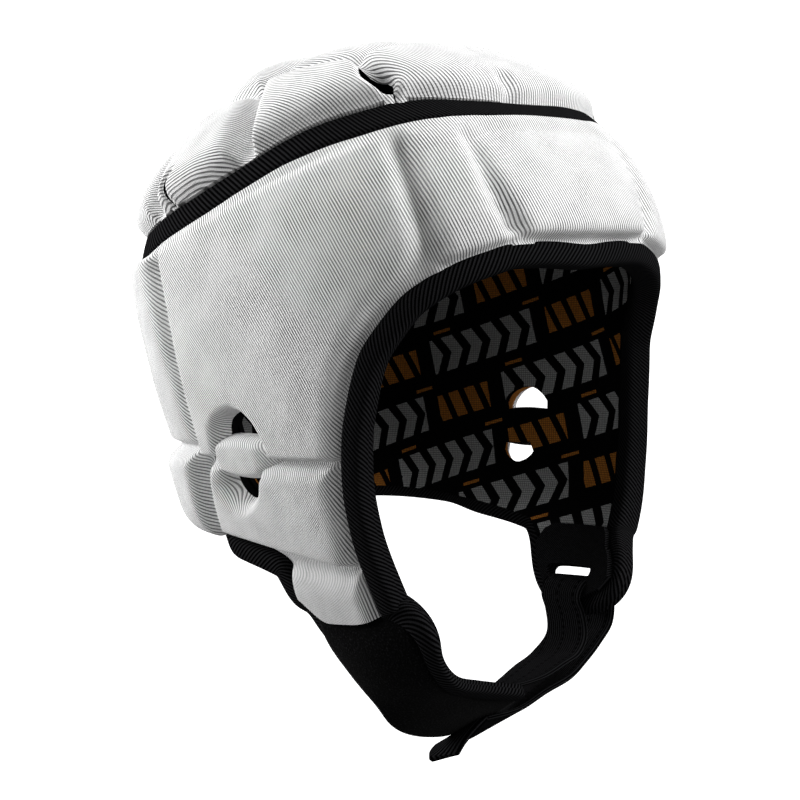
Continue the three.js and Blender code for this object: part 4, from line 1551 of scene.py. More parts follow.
@dataclass(frozen=True)
class Slit:
    """Vent slit: chart places along its middle, with its half width at each."""

    middle: Rows
    margin: float = 4.0
    steps: int = 64

    def strip(self, side: Side) -> tuple[Array, Array]:
        """Middle of the slit laid flat, with its half widths.

        Args:
            side: Side of the head.

        Returns:
            Flat places and half widths.
        """
        table = np.array(self.middle, float)
        flat = CrownPanel.flat(table[:, :2]) * np.array([side.value, 1.0])
        line = spline(np.column_stack([flat, table[:, 2]]), self.steps)
        return line[:, :2], np.maximum(line[:, 2], 0.0)

    def sides(self, side: Side) -> tuple[Array, Array, Array, Array]:
        """Edges of the slit and of the cloth round it.

        Args:
            side: Side of the head.

        Returns:
            Middle line, unit vectors across it, half widths and the outline of the cloth round it.
        """
        line, half = self.strip(side)
        ahead = unit(np.gradient(line, axis=0))
        across = np.stack([-ahead[:, 1], ahead[:, 0]], axis=1)
        reach = (half + self.margin)[:, None]
        outline = np.vstack([line + across * reach, (line - across * reach)[::-1]])
        return line, across, half, outline


@dataclass
class CrownPanel:
    """White padded crown in lobes, with vent slits."""

    knit: Material
    dark: Material
    floor: float = -5.2
    foot_rise: float = 2.0
    margin: float = 0.6
    side_lobes: tuple[Lobe, ...] = (
        Lobe(((-42, -27), (-46, -6), (-54, 14.5)), (43, 83), (3, 6.5)),
        Lobe(((-56, 19), (-53, 38), (-48, 54)), (89, 118), (0, 7)),
    )
    end_lobes: tuple[Lobe, ...] = (
        Lobe(((-39, -27), (0, -31), (39, -27)), (39, -39), (2.0, 5.0)),
        Lobe(((-47, 58.5), (0, 59.5), (47, 58.5)), (122, 238), (-2, 6)),
    )
    centre_lobes: tuple[tuple[Rows, Rows], ...] = (
        (((-37, -23), (0, -26.5), (37, -23)), ((-50, 14.5), (0, 15.5), (50, 14.5))),
        (((-52, 19), (0, 20), (52, 19)), ((-45, 53.5), (0, 54.5), (45, 53.5))),
    )
    centre_tops: Pair = (0.5, 3.0)
    slit_lift: float = 3.2
    slits: tuple[Slit, ...] = (
        Slit((
            (55, 97.7, 0.0), (50.3, 89.8, 1.2), (46.8, 83.2, 4.0), (44.6, 79.6, 4.4), (42.2, 76.4, 2.9),
            (40.8, 74.2, 0.5), (40.4, 72.2, 0.3), (40.2, 69.8, 0.25),
        )),
        Slit(
            (
                (112.6, 46, 0.0), (114, 42, 0.7), (114.8, 38, 1.1), (114.4, 35, 1.0), (113.4, 32, 0.5),
                (112.8, 29.6, 0.2),
            ),
            2.5,
        ),
    )
    slit_lift_width: float = 5.0
    slit_lift_from: float = 0.5
    collar_steps: int = 12
    collar_packing: float = 1.5
    raster_margin: float = 4.0
    lip_reach: float = 1.1
    lip_depth: float = 1.3
    foot_zone: Pair = (10.0, 2.0)
    centre_roll: float = 12.0
    notch: Rows = ((6.0, 66.0), (6.5, 74.0), (7.0, 79.0))
    notch_crease: Pair = (3.5, 3.0)
    soft_reach: float = 1.1
    unevenness: float = 0.2
    wave_seed: int = 9
    wave_length: float = 30.0
    turn_steps: int = 521
    ring_steps: int = 88
    hub: float = 0.004

    @staticmethod
    def flat(chart: Array) -> Array:
        """Crown laid flat about its apex.

        Args:
            chart: Longitudes and meridian heights.

        Returns:
            Flat places.
        """
        turn = np.radians(chart[..., 0])
        far = FORM.apex - chart[..., 1]
        return np.stack([-far * np.sin(turn), -far * np.cos(turn)], axis=-1)

    @staticmethod
    def chart(flat: Array) -> tuple[Array, Array]:
        """Longitudes and meridian heights of places on the crown laid flat."""
        turn = np.degrees(np.arctan2(-flat[..., 0], -flat[..., 1]))
        return turn, FORM.apex - np.hypot(flat[..., 0], flat[..., 1])

    def foot(self, seam: Pair, mirror: float) -> Array:
        """Flat lower edge of a lobe between two longitudes, as listed or, at -1, in its mirror image."""
        turn = mirror * np.linspace(*seam, EDGE_POINTS)
        return self.flat(np.stack([turn, GRID.crown_foot(turn) + self.margin], axis=-1))

    def relief(self) -> Relief:
        """Height of the crown's cloth.

        Returns:
            The relief.
        """
        reach = FORM.apex + self.raster_margin
        relief = Relief((-reach, -reach), (reach, reach), self.floor)
        turn, v = self.chart(np.stack([relief.x, relief.y], axis=-1))
        relief.floor += self.foot_rise * ease(v - GRID.crown_foot(turn), *self.foot_zone)
        relief.height = relief.floor.copy()
        for mirror in (1.0, -1.0):
            for lobe in self.side_lobes:
                self.swell(relief, lobe, mirror, turn, v)
        for lobe in self.end_lobes:
            self.swell(relief, lobe, 1.0, turn, v)
        for edges, top in zip(self.centre_lobes, self.centre_tops):
            front, rear = [spline(self.flat(FORM.crown_chart(edge)), EDGE_POINTS) for edge in edges]
            sides = [np.stack([front[-1], rear[-1]]), np.stack([rear[0], front[0]])]
            relief.raise_pad([front, sides[0], rear[::-1], sides[1]], (self.centre_roll,) * 4, (top, top))
        relief.crease(self.flat(np.array(self.notch)), *self.notch_crease)
        for side in Side:
            line, half = self.slits[0].strip(side)
            relief.crease(line[half > self.slit_lift_from], -self.slit_lift, self.slit_lift_width)
        relief.soften(self.soft_reach)
        relief.height += self.unevenness * ripple(relief.x, relief.y, self.wave_seed, self.wave_length)
        return relief

    def swell(self, relief: Relief, lobe: Lobe, mirror: float, turn: Array, v: Array) -> None:
        """Raises a lobe above the crown's foot.

        Args:
            relief: Height of the cloth.
            lobe: The lobe.
            mirror: 1 as listed, -1 for its mirror image.
            turn: Longitudes over the raster.
            v: Meridian heights over the raster.
        """
        flip = np.array([mirror, 1.0])
        head = spline(self.flat(FORM.crown_chart(lobe.top)) * flip, EDGE_POINTS)
        foot = self.foot(lobe.seam, mirror)
        sides = [np.stack([head[-1], foot[-1]]), np.stack([foot[0], head[0]])]
        share = self.down(v, turn, head)
        relief.raise_pad([head, sides[0], foot[::-1], sides[1]], lobe.rolls, lobe.tops, share)

    @staticmethod
    def down(v: Array, turn: Array, head: Array) -> Array:
        """Share of the way from a lobe's upper edge to its foot.

        Args:
            v: Meridian heights over the raster.
            turn: Longitudes over the raster.
            head: Flat places of the upper edge.

        Returns:
            Shares from 0 to 1.
        """
        high = FORM.apex - np.hypot(head[:, 0], head[:, 1]).mean()
        low = GRID.crown_foot(turn)
        return np.clip((high - v) / np.maximum(high - low, 1.0), 0.0, 1.0)

    def raised(self, flat: Array, height: Array) -> tuple[Array, Array]:
        """Points of the cloth and of the shell's inner face under it.

        Args:
            flat: Flat places.
            height: Heights of the cloth.

        Returns:
            Points of the cloth and points under them.
        """
        turn, v = self.chart(flat)
        inner = Layer.SHELL_INNER.value
        return FORM.place(turn, v, height).reshape(-1, 3), FORM.place(turn, v, inner).reshape(-1, 3)

    def collar(self, slit: Slit, side: Side, relief: Relief) -> list[Patch]:
        """Cloth round a slit, and the dark walls of the slit.

        Args:
            slit: The slit.
            side: Side of the head.
            relief: Height of the cloth.

        Returns:
            Patches of the cloth and of the walls.
        """
        line, across, half, _ = slit.sides(side)
        made = []
        for way in (1.0, -1.0):
            out = np.linspace(0.0, 1.0, self.collar_steps) ** self.collar_packing * slit.margin
            flat = line[:, None] + way * across[:, None] * (half[:, None] + out)[..., None]
            lip = np.exp(-((out / self.lip_reach) ** 2)) * np.minimum(half[:, None] * 2.0, 1.0)
            height = relief.sample(flat[..., 0], flat[..., 1]) - self.lip_depth * lip
            top, foot = self.raised(flat, height)
            cloth = flat.reshape(-1, 2)
            rim = np.arange(len(line)) * len(out)
            made.append(Patch(top, listed(grid_faces(len(line), len(out))), cloth))
            made.append(skirt(top, foot, cloth, np.stack([rim[:-1], rim[1:]], axis=1), 1))
        return made

    def make(self) -> Item:
        """Builds the crown.

        Returns:
            The crown.
        """
        relief = self.relief()
        turns = np.linspace(-180.0, 180.0, self.turn_steps)
        rings = np.linspace(self.hub, 1.0, self.ring_steps)
        turn, share = np.meshgrid(turns, rings)
        v = lerp(FORM.apex, GRID.crown_foot(turn), share)
        flat = self.flat(np.stack([turn, v], axis=-1))
        kept = np.ones((len(rings) - 1, len(turns) - 1), bool)
        at_slit = np.zeros(turn.size, bool)
        collars: list[Patch] = []
        for slit in self.slits:
            for side in Side:
                _, _, _, outline = slit.sides(side)
                cut_hole(outline, flat[..., 0], flat[..., 1], kept)
                at_slit |= (np.abs(inset(outline, flat[..., 0], flat[..., 1])) < ON_EDGE).ravel()
                collars.extend(self.collar(slit, side, relief))
        top, foot = self.raised(flat, relief.sample(flat[..., 0], flat[..., 1]))
        cloth = flat.reshape(-1, 2)
        faces = grid_faces(*turn.shape, kept)
        cap = tuple(range(len(turns) - 1))
        edges = border_edges(faces, np.abs(turn) == 180.0)
        rim = (edges >= len(turns)).all(axis=1) & ~at_slit[edges].all(axis=1)
        piece = Piece("crown_panel", "white_fabric", [self.knit, self.dark])
        piece.add(
            Patch(top, [*listed(faces), cap], cloth),
            skirt(top, foot, cloth, edges[rim]),
            *collars,
        )
        return piece.make()


@dataclass
class Lining:
    """Black printed cloth over the whole inside."""

    printed: Material
    plain: Material
    ear: EarOpening = EarOpening()
    holes: tuple[Rows, ...] = (
        (
            (97.2, -65.6), (97.4, -62), (95.8, -58.6), (93, -56.2), (90, -55.2), (87, -55.9), (84.8, -58),
            (83, -61), (81.8, -65.6), (89, -65.6),
        ),
        (
            (97.4, -81.4), (97.8, -84), (96.4, -87.6), (94, -90), (91.4, -90.4), (88.8, -88.8), (87, -86),
            (86, -81.4), (91, -81.4),
        ),
    )

    def half(self, side: Side) -> list[Patch]:
        """One side of the lining.

        Args:
            side: Side of the head.

        Returns:
            Patches of its inner face, outer face and edges.
        """
        columns = spaced(((0, 1 / 24), (1, 1 / 44), (2, 1 / 50), (3, 1)))
        levels = spaced(((-1.996, 1 / 44), (-1, 1 / 4), (0, 1 / 26), (1, 1 / 48), (2, 1 / 8), (3, 1)))
        holes = [self.ear.ring(stops, side) for stops in self.holes]
        x, y, faces, edges = cover(columns, levels, side, holes)
        longitude = FLAT.longitude(x)
        inner = FORM.place(longitude, y, Layer.LINING_INNER.value).reshape(-1, 3)
        outer = FORM.place(longitude, y, Layer.LINING_OUTER.value).reshape(-1, 3)
        cloth = np.stack([x, y], axis=-1).reshape(-1, 2)
        shown = listed(faces)
        return [
            Patch(inner, shown, cloth),
            Patch(outer, shown, cloth, 1),
            skirt(inner, outer, cloth, edges, 1),
        ]

    def make(self) -> Item:
        """Builds the lining.

        Returns:
            The lining.
        """
        piece = Piece("lining", "lining_fabric", [self.printed, self.plain])
        for side in Side:
            piece.add(*self.half(side))
        return piece.make()


@dataclass
class SeamTape:
    """Black tape in the seam between the crown and the side band."""

    tape: Material
    width: float = 11.0
    outer: float = -1.3
    upper: float = -2.8
    inner: float = -10.8
    tuck: float = 1.2
    fullness: float = 2.2
    skin: float = 0.1
    turn_steps: int = 541
    across: int = 13

    def make(self) -> Item:
        """Builds the tape.

        Returns:
            The tape.
        """
        turns = np.linspace(-180.0, 180.0, self.turn_steps)
        share = np.linspace(0.0, 1.0, self.across)
        low = GRID.seam.at(np.abs(turns))[:, None] - self.tuck
        v = low + share * (GRID.rise.at(np.abs(turns))[:, None] + 2 * self.tuck)
        rounded = np.clip(4.0 * share * (1.0 - share) * self.fullness, 0.0, 1.0) ** 0.5
        height = lerp(self.inner, lerp(self.outer, self.upper, share), rounded)
        top = FORM.place(turns[:, None], v, height)
        under = FORM.place(turns[:, None], v, self.inner - self.skin)
        sections = np.concatenate([top, under[:, ::-1]], axis=1)
        along = FLAT.across(turns)[:, None]
        width = share * (self.width + 2 * self.tuck)
        around = np.concatenate([width, width[::-1], width[:1]])
        cloth = np.stack(np.broadcast_arrays(along, around[None, :]), axis=-1)
        piece = Piece("crown_seam_tape", "binding_tape", [self.tape])
        piece.add(loft(sections, cloth, capped=False))
        return piece.make()


@dataclass(frozen=True)
class RibbonRow:
    """Row of a ribbon: its front and rear edge, its bow and its thickness."""

    front: Triple
    rear: Triple
    bow: float = 0.0
    thickness: float = 2.2


@dataclass
class Ribbon:
    """Strip of cloth through rows of edge places."""

    rows: tuple[RibbonRow, ...]
    along: int
    across: int
    edge: float
    least_edge: float = 0.02
    sewn_share: float = 0.9
    bow_side: Triple = (-1.0, 0.0, -0.4)
    first: tuple[Array, Array, float] | None = None

    def surface(self) -> tuple[Array, Array, Array]:
        """Middle surface of the strip.

        Returns:
            Points, unit normals and thicknesses over its grid.
        """
        share = np.linspace(0.0, 1.0, self.across + 1)[:, None]
        out = unit(np.array(self.bow_side))
        lines = [
            lerp(np.array(row.front), np.array(row.rear), share) + row.bow * 4 * share * (1 - share) * out
            for row in self.rows
        ]
        thick = [row.thickness for row in self.rows]
        if self.first is not None:
            lines.insert(0, self.first[0])
            thick.insert(0, self.first[2])
        stack = np.array(lines)
        far = distances(stack.mean(axis=1))
        columns = [smooth_through(stack[:, k], far, self.along) for k in range(self.across + 1)]
        points = np.stack(columns, axis=1)
        spots = np.linspace(0.0, far[-1], self.along)
        thickness = np.interp(spots, far, thick)
        over = np.gradient(points, axis=1)
        ahead = np.gradient(points, axis=0)
        normal = unit(np.cross(over, ahead))
        if self.first is not None:
            turn = ease(spots, far[1] * self.sewn_share, 0.0)[:, None, None]
            normal = unit(lerp(normal, self.first[1][None], turn))
        return points, normal, thickness

    def patch(self) -> Patch:
        """Closed strip with rounded edges.

        Returns:
            The strip.
        """
        points, normal, thickness = self.surface()
        width = np.stack([distances(row) for row in points])
        near = np.minimum(width, width[:, -1:] - width)
        inward = np.clip(near / self.edge, 0.0, 1.0)
        rounded = np.sqrt(np.maximum(1 - (1 - inward) ** 2, self.least_edge))
        half = (thickness[:, None] / 2 * rounded)[..., None]
        outer = points + normal * half
        inner = points - normal * half
        sections = np.concatenate([outer, inner[:, ::-1]], axis=1)
        along = distances(points[:, self.across // 2])[:, None]
        places = np.concatenate([width, width[:, ::-1], width[:, :1]], axis=1)
        return loft(sections, np.stack(np.broadcast_arrays(along, places), axis=-1))


def smooth_through(stops: Array, far: Array, count: int) -> Array:
    """Smooth curve through stops at known distances.

    Args:
        stops: Points.
        far: Distance of each stop.
        count: How many points to return.

    Returns:
        Points evenly spread over the distance.
    """
    slope = np.gradient(stops, far, axis=0)
    spots = np.linspace(0.0, far[-1], count)
    k = np.clip(np.searchsorted(far, spots, side="right") - 1, 0, len(far) - 2)
    span = (far[k + 1] - far[k])[:, None]
    share = (spots - far[k])[:, None] / span
    return hermite(share, (stops[k], stops[k + 1]), (slope[k], slope[k + 1]), span)


@dataclass
class ChinTab:
    """Black plush tab sewn to the end of the right flap."""

    plush: Material
    rows: tuple[RibbonRow, ...] = (
        RibbonRow((-53.7, -65, -141.2), (-62, -20.5, -144), 3, 6),
        RibbonRow((-46.2, -63, -154.4), (-57, -27.5, -158), 3, 5),
        RibbonRow((-36.3, -61, -164), (-49, -31, -171), 2, 4),
        RibbonRow((-20, -59, -169.5), (-37, -31, -185), 1, 4),
        RibbonRow((-6, -58.5, -173), (-16, -33, -191), 0.5, 4),
        RibbonRow((6, -58.5, -175.5), (0, -35.5, -190), 0.5, 3.5),
    )
    along: int = 90
    across: int = 24
    edge: float = 1.6
    outer: float = -5.5
    overlap: float = 0.4

    def ribbon(self) -> Ribbon:
        """The tab as a strip from its sewn edge to its tip.

        Returns:
            The strip.
        """
        turn = np.linspace(GRID.right_end.stops[0][0], GRID.flap_rear[1], self.across + 1)
        v = GRID.right_end.at(turn) + self.overlap
        inner = Layer.LINING_INNER.value
        sewn = FORM.place(turn, v, (inner + self.outer) / 2)
        normal = FORM.normal(FORM.point(turn, v))
        first = (sewn, normal, self.outer - inner)
        return Ribbon(self.rows, self.along, self.across, self.edge, first=first)

    def make(self) -> Item:
        """Builds the tab.

        Returns:
            The tab.
        """
        piece = Piece("chin_tab", "loop_plush", [self.plush])
        piece.add(self.ribbon().patch())
        return piece.make()


@dataclass
class ChinStrap:
    """Webbing strap from the tab's upper face through the slot and back to its free end."""

    webbing: Material
    pull: Material
    rows: tuple[RibbonRow, ...] = (
        RibbonRow((-8, -55.5, -169), (-14, -30, -185.5)),
        RibbonRow((6, -56.5, -172), (4, -31, -183)),
        RibbonRow((20, -60, -170.5), (18, -32, -177)),
        RibbonRow((34, -60, -167), (32, -31, -171.5)),
        RibbonRow((47, -57.5, -164), (45.5, -30, -167)),
        RibbonRow((54, -55, -158), (54, -31.5, -159)),
        RibbonRow((55.5, -52.5, -149), (56, -29.5, -149)),
        RibbonRow((54.5, -51, -142.5), (55.5, -28, -142.5)),
        RibbonRow((58.5, -50.5, -137.6), (58.5, -27, -137.6)),
        RibbonRow((70, -50.5, -136.6), (69, -25.5, -136.6)),
        RibbonRow((77, -50, -139.5), (76, -25, -139.5)),
        RibbonRow((78.2, -50, -147), (77.2, -25, -147)),
        RibbonRow((76, -50.5, -156), (75.5, -25.5, -157)),
        RibbonRow((67, -51, -164), (67, -26, -166)),
        RibbonRow((56, -53, -169.5), (55.5, -28, -172.5)),
        RibbonRow((43, -56, -173.8), (42, -31, -178.8)),
        RibbonRow((28, -55.5, -177.5), (26.5, -31, -186)),
        RibbonRow((12, -54, -182.4), (8, -30, -195.9)),
        RibbonRow((-4, -51.5, -183.5), (-12, -28.5, -198)),
    )
    pull_rows: tuple[RibbonRow, ...] = (
        RibbonRow((-5.1, -51.3, -183.7), (-13.1, -28.3, -198.2), 0, 3),
        RibbonRow((-8.5, -50, -186.5), (-15.5, -28.5, -199.5), 0, 3),
        RibbonRow((-12.5, -47, -192), (-17.5, -29.5, -200.5), 0, 3),
        RibbonRow((-15, -44.5, -198), (-19.5, -31.5, -201), 0, 3),
    )
    along: int = 300
    pull_along: int = 40
    across: int = 20
    edge: float = 0.8
    pull_edge: float = 1.2

    def make(self) -> tuple[Item, Item]:
        """Builds the strap and the ribbed end on it.

        Returns:
            The strap and its end.
        """
        strap = Piece("chin_strap", "strap_webbing", [self.webbing])
        strap.add(Ribbon(self.rows, self.along, self.across, self.edge).patch())
        end = Piece("pull_tab", "strap_webbing", [self.pull])
        end.add(Ribbon(self.pull_rows, self.pull_along, self.across, self.pull_edge).patch())
        return strap.make(), end.make()


@dataclass
class SlotTab:
    """Black tab with a slot on the left flap: rows of front and rear longitude, height and outer face."""

    plain: Material
    rows: Rows = (
        (53, 73, -118.5, -13.6), (51, 76, -121, -13.6), (48.5, 77.5, -126.8, -13.6),
        (47.5, 77.5, -127.2, -10), (44.5, 76, -132, -10), (42, 73, -138, -10),
        (43.5, 68, -144, -10), (50, 60, -148.5, -10),
    )
    inner: float = -16.0
    slot_y: float = -38.0
    slot_half_length: float = 13.0
    slot_z: float = -138.0
    slot_half_height: float = 2.4
    slot_roundness: float = 0.35
    slot_corners: int = 120
    slot_depth: float = -13.0
    slot_turns: Pair = (-85.0, -35.0)
    guide_steps: int = 400
    grid: tuple[int, int] = (64, 56)

    def slot_outline(self) -> Array:
        """Flat outline of the slot.

        Returns:
            Its corners.
        """
        guide = np.linspace(*self.slot_turns, self.guide_steps)
        guide_y = FORM.place(guide, self.slot_z, self.slot_depth)[:, 1]
        reach = np.array([-self.slot_half_length, self.slot_half_length])
        ends = FLAT.across(np.interp(self.slot_y + reach, guide_y[::-1], guide[::-1]))
        half_length = abs(np.diff(ends)[0]) / 2
        return rounded_box(
            (ends.mean(), self.slot_z),
            (half_length, self.slot_half_height),
            self.slot_roundness,
            self.slot_corners,
        )

    def make(self) -> Item:
        """Builds the tab.

        Returns:
            The tab.
        """
        table = np.array(self.rows)
        far = distances(table[:, 2:3])
        spots = np.linspace(0.0, far[-1], self.grid[0])
        front, rear, v, outer = (np.interp(spots, far, column)[:, None] for column in table.T)
        turn = -lerp(front, rear, np.linspace(0.0, 1.0, self.grid[1]))
        flat = FLAT.across(turn)
        height = np.broadcast_to(v, turn.shape).copy()
        kept = np.ones((self.grid[0] - 1, self.grid[1] - 1), bool)
        cut_hole(self.slot_outline(), flat, height, kept)
        turn = FLAT.longitude(flat)
        top = FORM.place(turn, height, outer).reshape(-1, 3)
        under = FORM.place(turn, height, self.inner).reshape(-1, 3)
        cloth = np.stack([flat, height], axis=-1).reshape(-1, 2)
        faces = grid_faces(*turn.shape, kept)
        shown = listed(faces)
        piece = Piece("slot_tab", "lining_fabric", [self.plain])
        piece.add(Patch(top, shown, cloth), Patch(under, shown, cloth))
        piece.add(skirt(top, under, cloth, border_edges(faces)))
        return piece.make()


@dataclass
class EdgeBinding:
    """Black rolled binding along the face opening, the flaps, the slot tab and the nape."""

    twill: Material
    tab: ChinTab
    slot: SlotTab
    outer: float = -1.5
    inner: float = -13.4
    slot_outer: float = -5.5
    width: float = 8.5
    hem: dict[Side, float] = field(default_factory=lambda: {Side.RIGHT: 9.0, Side.LEFT: 5.5})
    flap_end: float = 6.0
    tab_width: float = 5.0
    tab_half: float = 3.0
    tab_blend: float = 0.34
    nape: float = 3.0
    nape_outer: float = -6.5
    narrows: Pair = (2.23, 2.36)
    overlap: float = 1.4
    step: float = 1.6
    sewn_heights: Pair = (-5.0, 5.5)
    tab_start: int = 2
    slot_start: int = 4
    tail_rows: tuple[int, int] = (5, 17)
    tail_end: Triple = (-1.2, 1.2, 0.8)
    face_steps: int = 90
    brow_steps: int = 45
    nape_steps: int = 90
    flap_steps: int = 14
    end_steps: int = 6
    smooth_half: int = 4
    smooth_width: float = 1.8
    roundness: float = 0.55
    around: int = 28

    def panel(self, column: Array | float, side: Side, level: Array | float, width: float) -> Array:
        """Stations along the panel's edge.

        Args:
            column: Columns of the cover grid.
            side: Side of the head.
            level: Levels of the cover grid.
            width: Width of the binding there.

        Returns:
            Rows of place, normal, inner height, outer height and width.
        """
        turn, v = GRID.chart(column, side, level)
        slim = ease(column, *self.narrows)
        outer, width = lerp(self.outer, self.nape_outer, slim), lerp(width, self.nape, slim)
        return self.chart_stations(turn, v, outer, width)

    def chart_stations(self, turn: Array, v: Array, outer: Array, width: Array) -> Array:
        """Stations at chart places.

        Args:
            turn: Longitudes.
            v: Meridian heights.
            outer: Outer height of the binding there.
            width: Width of the binding there.

        Returns:
            Rows of place, normal, inner height, outer height and width.
        """
        place = FORM.place(turn, v, np.zeros_like(turn))
        normal = FORM.normal(FORM.point(turn, v))
        facts = np.stack(np.broadcast_arrays(np.full_like(turn, self.inner), outer, width), axis=1)
        return np.hstack([place, normal, facts])

    def stations(self) -> Array:
        """Stations along the whole binding.

        Returns:
            Rows of place, normal, inner height, outer height and width.
        """
        points, normals, _ = self.tab.ribbon().surface()
        slim = np.array([-self.tab_half, self.tab_half, self.tab_width])
        sewn = np.array([*self.sewn_heights, self.width])
        points_front, normals_front = points[self.tab_start :, 0], normals[self.tab_start :, 0]
        away = ease(np.linspace(0.0, 1.0, len(points_front)), 0.0, self.tab_blend)[:, None]
        front = np.hstack([points_front, normals_front, lerp(sewn, slim, away)])[::-1]
        levels = np.linspace(3.0, 1.0, self.face_steps)
        columns = np.linspace(1.0, 0.0, self.brow_steps)
        nape = np.linspace(2.0, 3.0, self.nape_steps)
        flap = np.linspace(3.0, 2.0, self.flap_steps)
        table = np.array(self.slot.rows)[self.slot_start :]
        end = np.linspace(table[-1, 0], table[-1, 1], self.end_steps)[1:-1]
        loop_turn = -np.concatenate([table[:, 0], end, table[::-1, 1]])
        loop_v = np.concatenate([table[:, 2], np.full_like(end, table[-1, 2]), table[::-1, 2]])
        rows = slice(*self.tail_rows)
        fade = np.linspace(0.0, 1.0, len(points[rows]))[:, None]
        tail = lerp(slim, np.array(self.tail_end), fade)
        return np.vstack([
            front,
            self.panel(1.0, Side.RIGHT, levels, self.width),
            self.panel(columns[1:], Side.RIGHT, 1.0, self.width),
            self.panel(columns[::-1][1:], Side.LEFT, 1.0, self.width),
            self.panel(1.0, Side.LEFT, levels[::-1][1:], self.width),
            self.chart_stations(loop_turn, loop_v, self.slot_outer, self.flap_end),
            self.panel(2.0, Side.LEFT, flap, self.hem[Side.LEFT]),
            self.panel(nape[1:], Side.LEFT, 2.0, self.hem[Side.LEFT]),
            self.panel(nape[::-1][1:], Side.RIGHT, 2.0, self.hem[Side.RIGHT]),
            self.panel(2.0, Side.RIGHT, flap[::-1][1:], self.hem[Side.RIGHT]),
            np.hstack([points[rows, -1], normals[rows, -1], tail]),
        ])

    def section(self, low: float, high: float, width: float) -> Array:
        """Rounded section of the binding.

        Args:
            low: Inner height.
            high: Outer height.
            width: Width.

        Returns:
            Places across the edge and off the surface.
        """
        middle = ((width - self.overlap) / 2, (low + high) / 2)
        half = ((width + self.overlap) / 2, (high - low) / 2)
        return rounded_box(middle, half, self.roundness, self.around)

    def make(self) -> Item:
        """Builds the binding.

        Returns:
            The binding.
        """
        rough = self.stations()
        far = distances(rough[:, :3])
        spots = np.linspace(0.0, far[-1], int(far[-1] / self.step))
        even = np.stack([np.interp(spots, far, column) for column in rough.T], axis=1)
        even = smoothed(even, self.smooth_width, self.smooth_half)
        place, normal = even[:, :3], unit(even[:, 3:6])
        out = unit(np.cross(np.gradient(place, axis=0), normal))
        shapes = np.stack([self.section(*row) for row in even[:, 6:9]])
        sections = place[:, None] + shapes[..., :1] * out[:, None] + shapes[..., 1:] * normal[:, None]
        girth = np.stack([distances(closed(section)) for section in sections])
        cloth = np.stack(np.broadcast_arrays(spots[:, None], girth), axis=-1)
        piece = Piece("edge_binding", "binding_tape", [self.twill])
        piece.add(loft(sections, cloth))
        return piece.make()


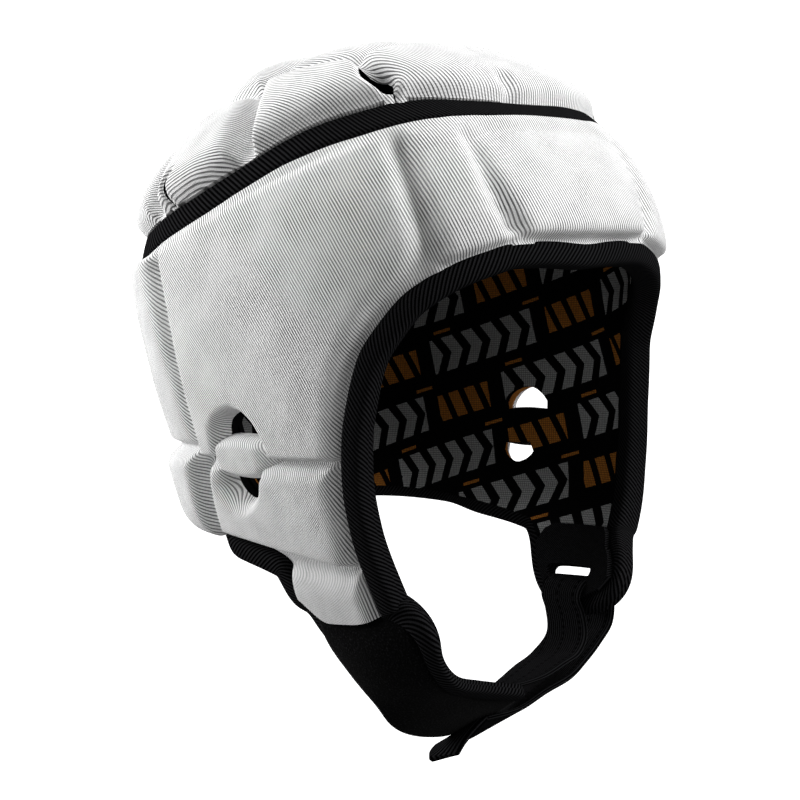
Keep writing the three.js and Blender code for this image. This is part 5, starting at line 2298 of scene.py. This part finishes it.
@dataclass
class Studio:
    """Pale floor with a bright wall behind it, soft lights and the camera."""

    pale: Colour = (0.6, 0.6, 0.6, 1.0)
    roughness: float = 0.9
    floor_drop: float = 0.5
    floor_reach: float = 4.0
    wall_reach: float = 1.3
    wall_half: float = 1.6
    wall_top: float = 1.4
    wall_glow: float = 1.0
    world: float = 0.3
    target: Triple = (0.0, 0.0, -0.12)
    lights: tuple[tuple[str, Triple, float, float], ...] = (
        ("right", (0.9, 0.4, 0.55), 0.7, 12.8),
        ("left", (-0.94, -0.15, 0.25), 0.7, 14.2),
        ("top", (0.0, -0.2, 1.05), 0.8, 7.5),
    )
    position: Triple = (-0.55487, -0.59589, -0.10005)
    right: Triple = (0.72886, -0.68343, -0.041)
    up: Triple = (0.06076, 0.00492, 0.99814)
    back: Triple = (-0.68196, -0.73, 0.04512)
    lens: float = 86.1
    sensor: float = 36.0
    clip: Pair = (0.01, 50.0)

    def floor(self) -> None:
        """Builds the floor and the bright wall behind it."""
        away = -np.array(self.back[:2]) / math.hypot(*self.back[:2])
        aside = np.array([-away[1], away[0]])
        low = frame_low() - self.floor_drop
        corners = ((-1, -1), (-1, 1), (1, 1), (1, -1))
        floor = [(*((away * d + aside * w) * self.floor_reach), low) for d, w in corners]
        self.sheet("floor", floor, 0.0)
        half, top = self.wall_half, self.wall_top
        edges = ((-half, low), (half, low), (half, top), (-half, top))
        wall = [(*(away * self.wall_reach + aside * w), z) for w, z in edges]
        self.sheet("wall", wall, self.wall_glow)

    def sheet(self, name: str, corners: list[tuple[float, ...]], glow: float) -> None:
        """Adds a flat pale sheet to the stage.

        Args:
            name: Name of the sheet.
            corners: Its corners.
            glow: How brightly it shines.
        """
        mesh = bpy.data.meshes.new(name)
        mesh.from_pydata(corners, [], [tuple(range(len(corners)))])
        g = Graph(f"pale_{name}")
        mesh.materials.append(g.finish(self.pale, self.roughness, None, 0.0, 0.0))
        surface = next(node for node in g.tree.nodes if node.type == "BSDF_PRINCIPLED")
        surface.inputs["Emission Color"].default_value = (1.0, 1.0, 1.0, 1.0)
        surface.inputs["Emission Strength"].default_value = glow
        made = bpy.data.objects.new(name, mesh)
        made.visible_diffuse = glow > 0.0
        bpy.context.scene.collection.objects.link(made)

    def light(self, name: str, place: Triple, size: float, power: float) -> None:
        """Adds a soft light that faces the helmet.

        Args:
            name: Name of the light.
            place: Where it stands.
            size: Length of its side.
            power: Power in watts.
        """
        data = bpy.data.lights.new(name, "AREA")
        data.energy, data.size = power, size
        made = bpy.data.objects.new(name, data)
        back = unit(np.array(place) - np.array(self.target))
        right = unit(np.cross([0.0, 0.0, 1.0], back))
        made.matrix_world = posed(place, right, np.cross(back, right), back)
        bpy.context.scene.collection.objects.link(made)

    def make(self) -> None:
        """Builds the studio."""
        scene = bpy.context.scene
        self.floor()
        axes = np.array([self.right, self.back, self.up])
        for name, way, size, power in self.lights:
            self.light(name, tuple(np.array(self.target) + np.array(way) @ axes), size, power)
        world = bpy.data.worlds.new("studio")
        world.use_nodes = True
        glow = world.node_tree.nodes["Background"]
        glow.inputs["Color"].default_value = (1.0, 1.0, 1.0, 1.0)
        glow.inputs["Strength"].default_value = self.world
        scene.world = world
        scene.view_settings.view_transform = "Standard"
        camera = bpy.data.cameras.new("camera")
        camera.lens, camera.sensor_width = self.lens, self.sensor
        camera.clip_start, camera.clip_end = self.clip
        made = bpy.data.objects.new("camera", camera)
        made.matrix_world = posed(self.position, self.right, self.up, self.back)
        scene.collection.objects.link(made)
        scene.camera = made


def posed(place: object, right: object, up: object, back: object) -> Matrix:
    """Pose from a place and three directions."""
    columns = np.array([right, up, back, place], float).T
    return Matrix([*columns.tolist(), [0.0, 0.0, 0.0, 1.0]])


def frame_low() -> float:
    """Lowest height of the CAD pieces, in metres."""
    return min(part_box(node)[0].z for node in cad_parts)


def main() -> None:
    """Builds every piece in order and reports it."""
    logging.basicConfig(level=logging.INFO, format="%(message)s")
    knit = KnitFinish("side_knit", 79.0, 1.18).make()
    crown_knit = KnitFinish("crown_knit", 90.0, 1.22).make()
    dark = PlainFinish("dark_edge", (0.004, 0.004, 0.0045, 1.0)).make()
    foam = PlainFinish("orange_foam", (0.42, 0.16, 0.035, 1.0)).make()
    twill = RibbedFinish("binding_twill", 48.0, 1.5).make()
    tape = RibbedFinish("seam_twill", 35.0, 1.3).make()
    webbing = RibbedFinish("strap_webbing", 0.0, 1.2, 0.3, seams=(3.0, 12.5, 22.0)).make()
    ribs = RibbedFinish("pull_ribs", 0.0, 2.4, 0.5).make()
    tab = ChinTab(PlushFinish().make())
    slot = SlotTab(RibbedFinish("slot_cloth", 60.0, 1.1).make())
    SidePanel(knit, foam, dark).make()
    CrownPanel(crown_knit, dark).make()
    lining = Lining(LiningFinish().make(), dark).make()
    SeamTape(tape).make()
    EdgeBinding(twill, tab, slot).make()
    tab.make()
    slot.make()
    ChinStrap(webbing, ribs).make()
    Studio().make()


if __name__ == "__main__":
    main()
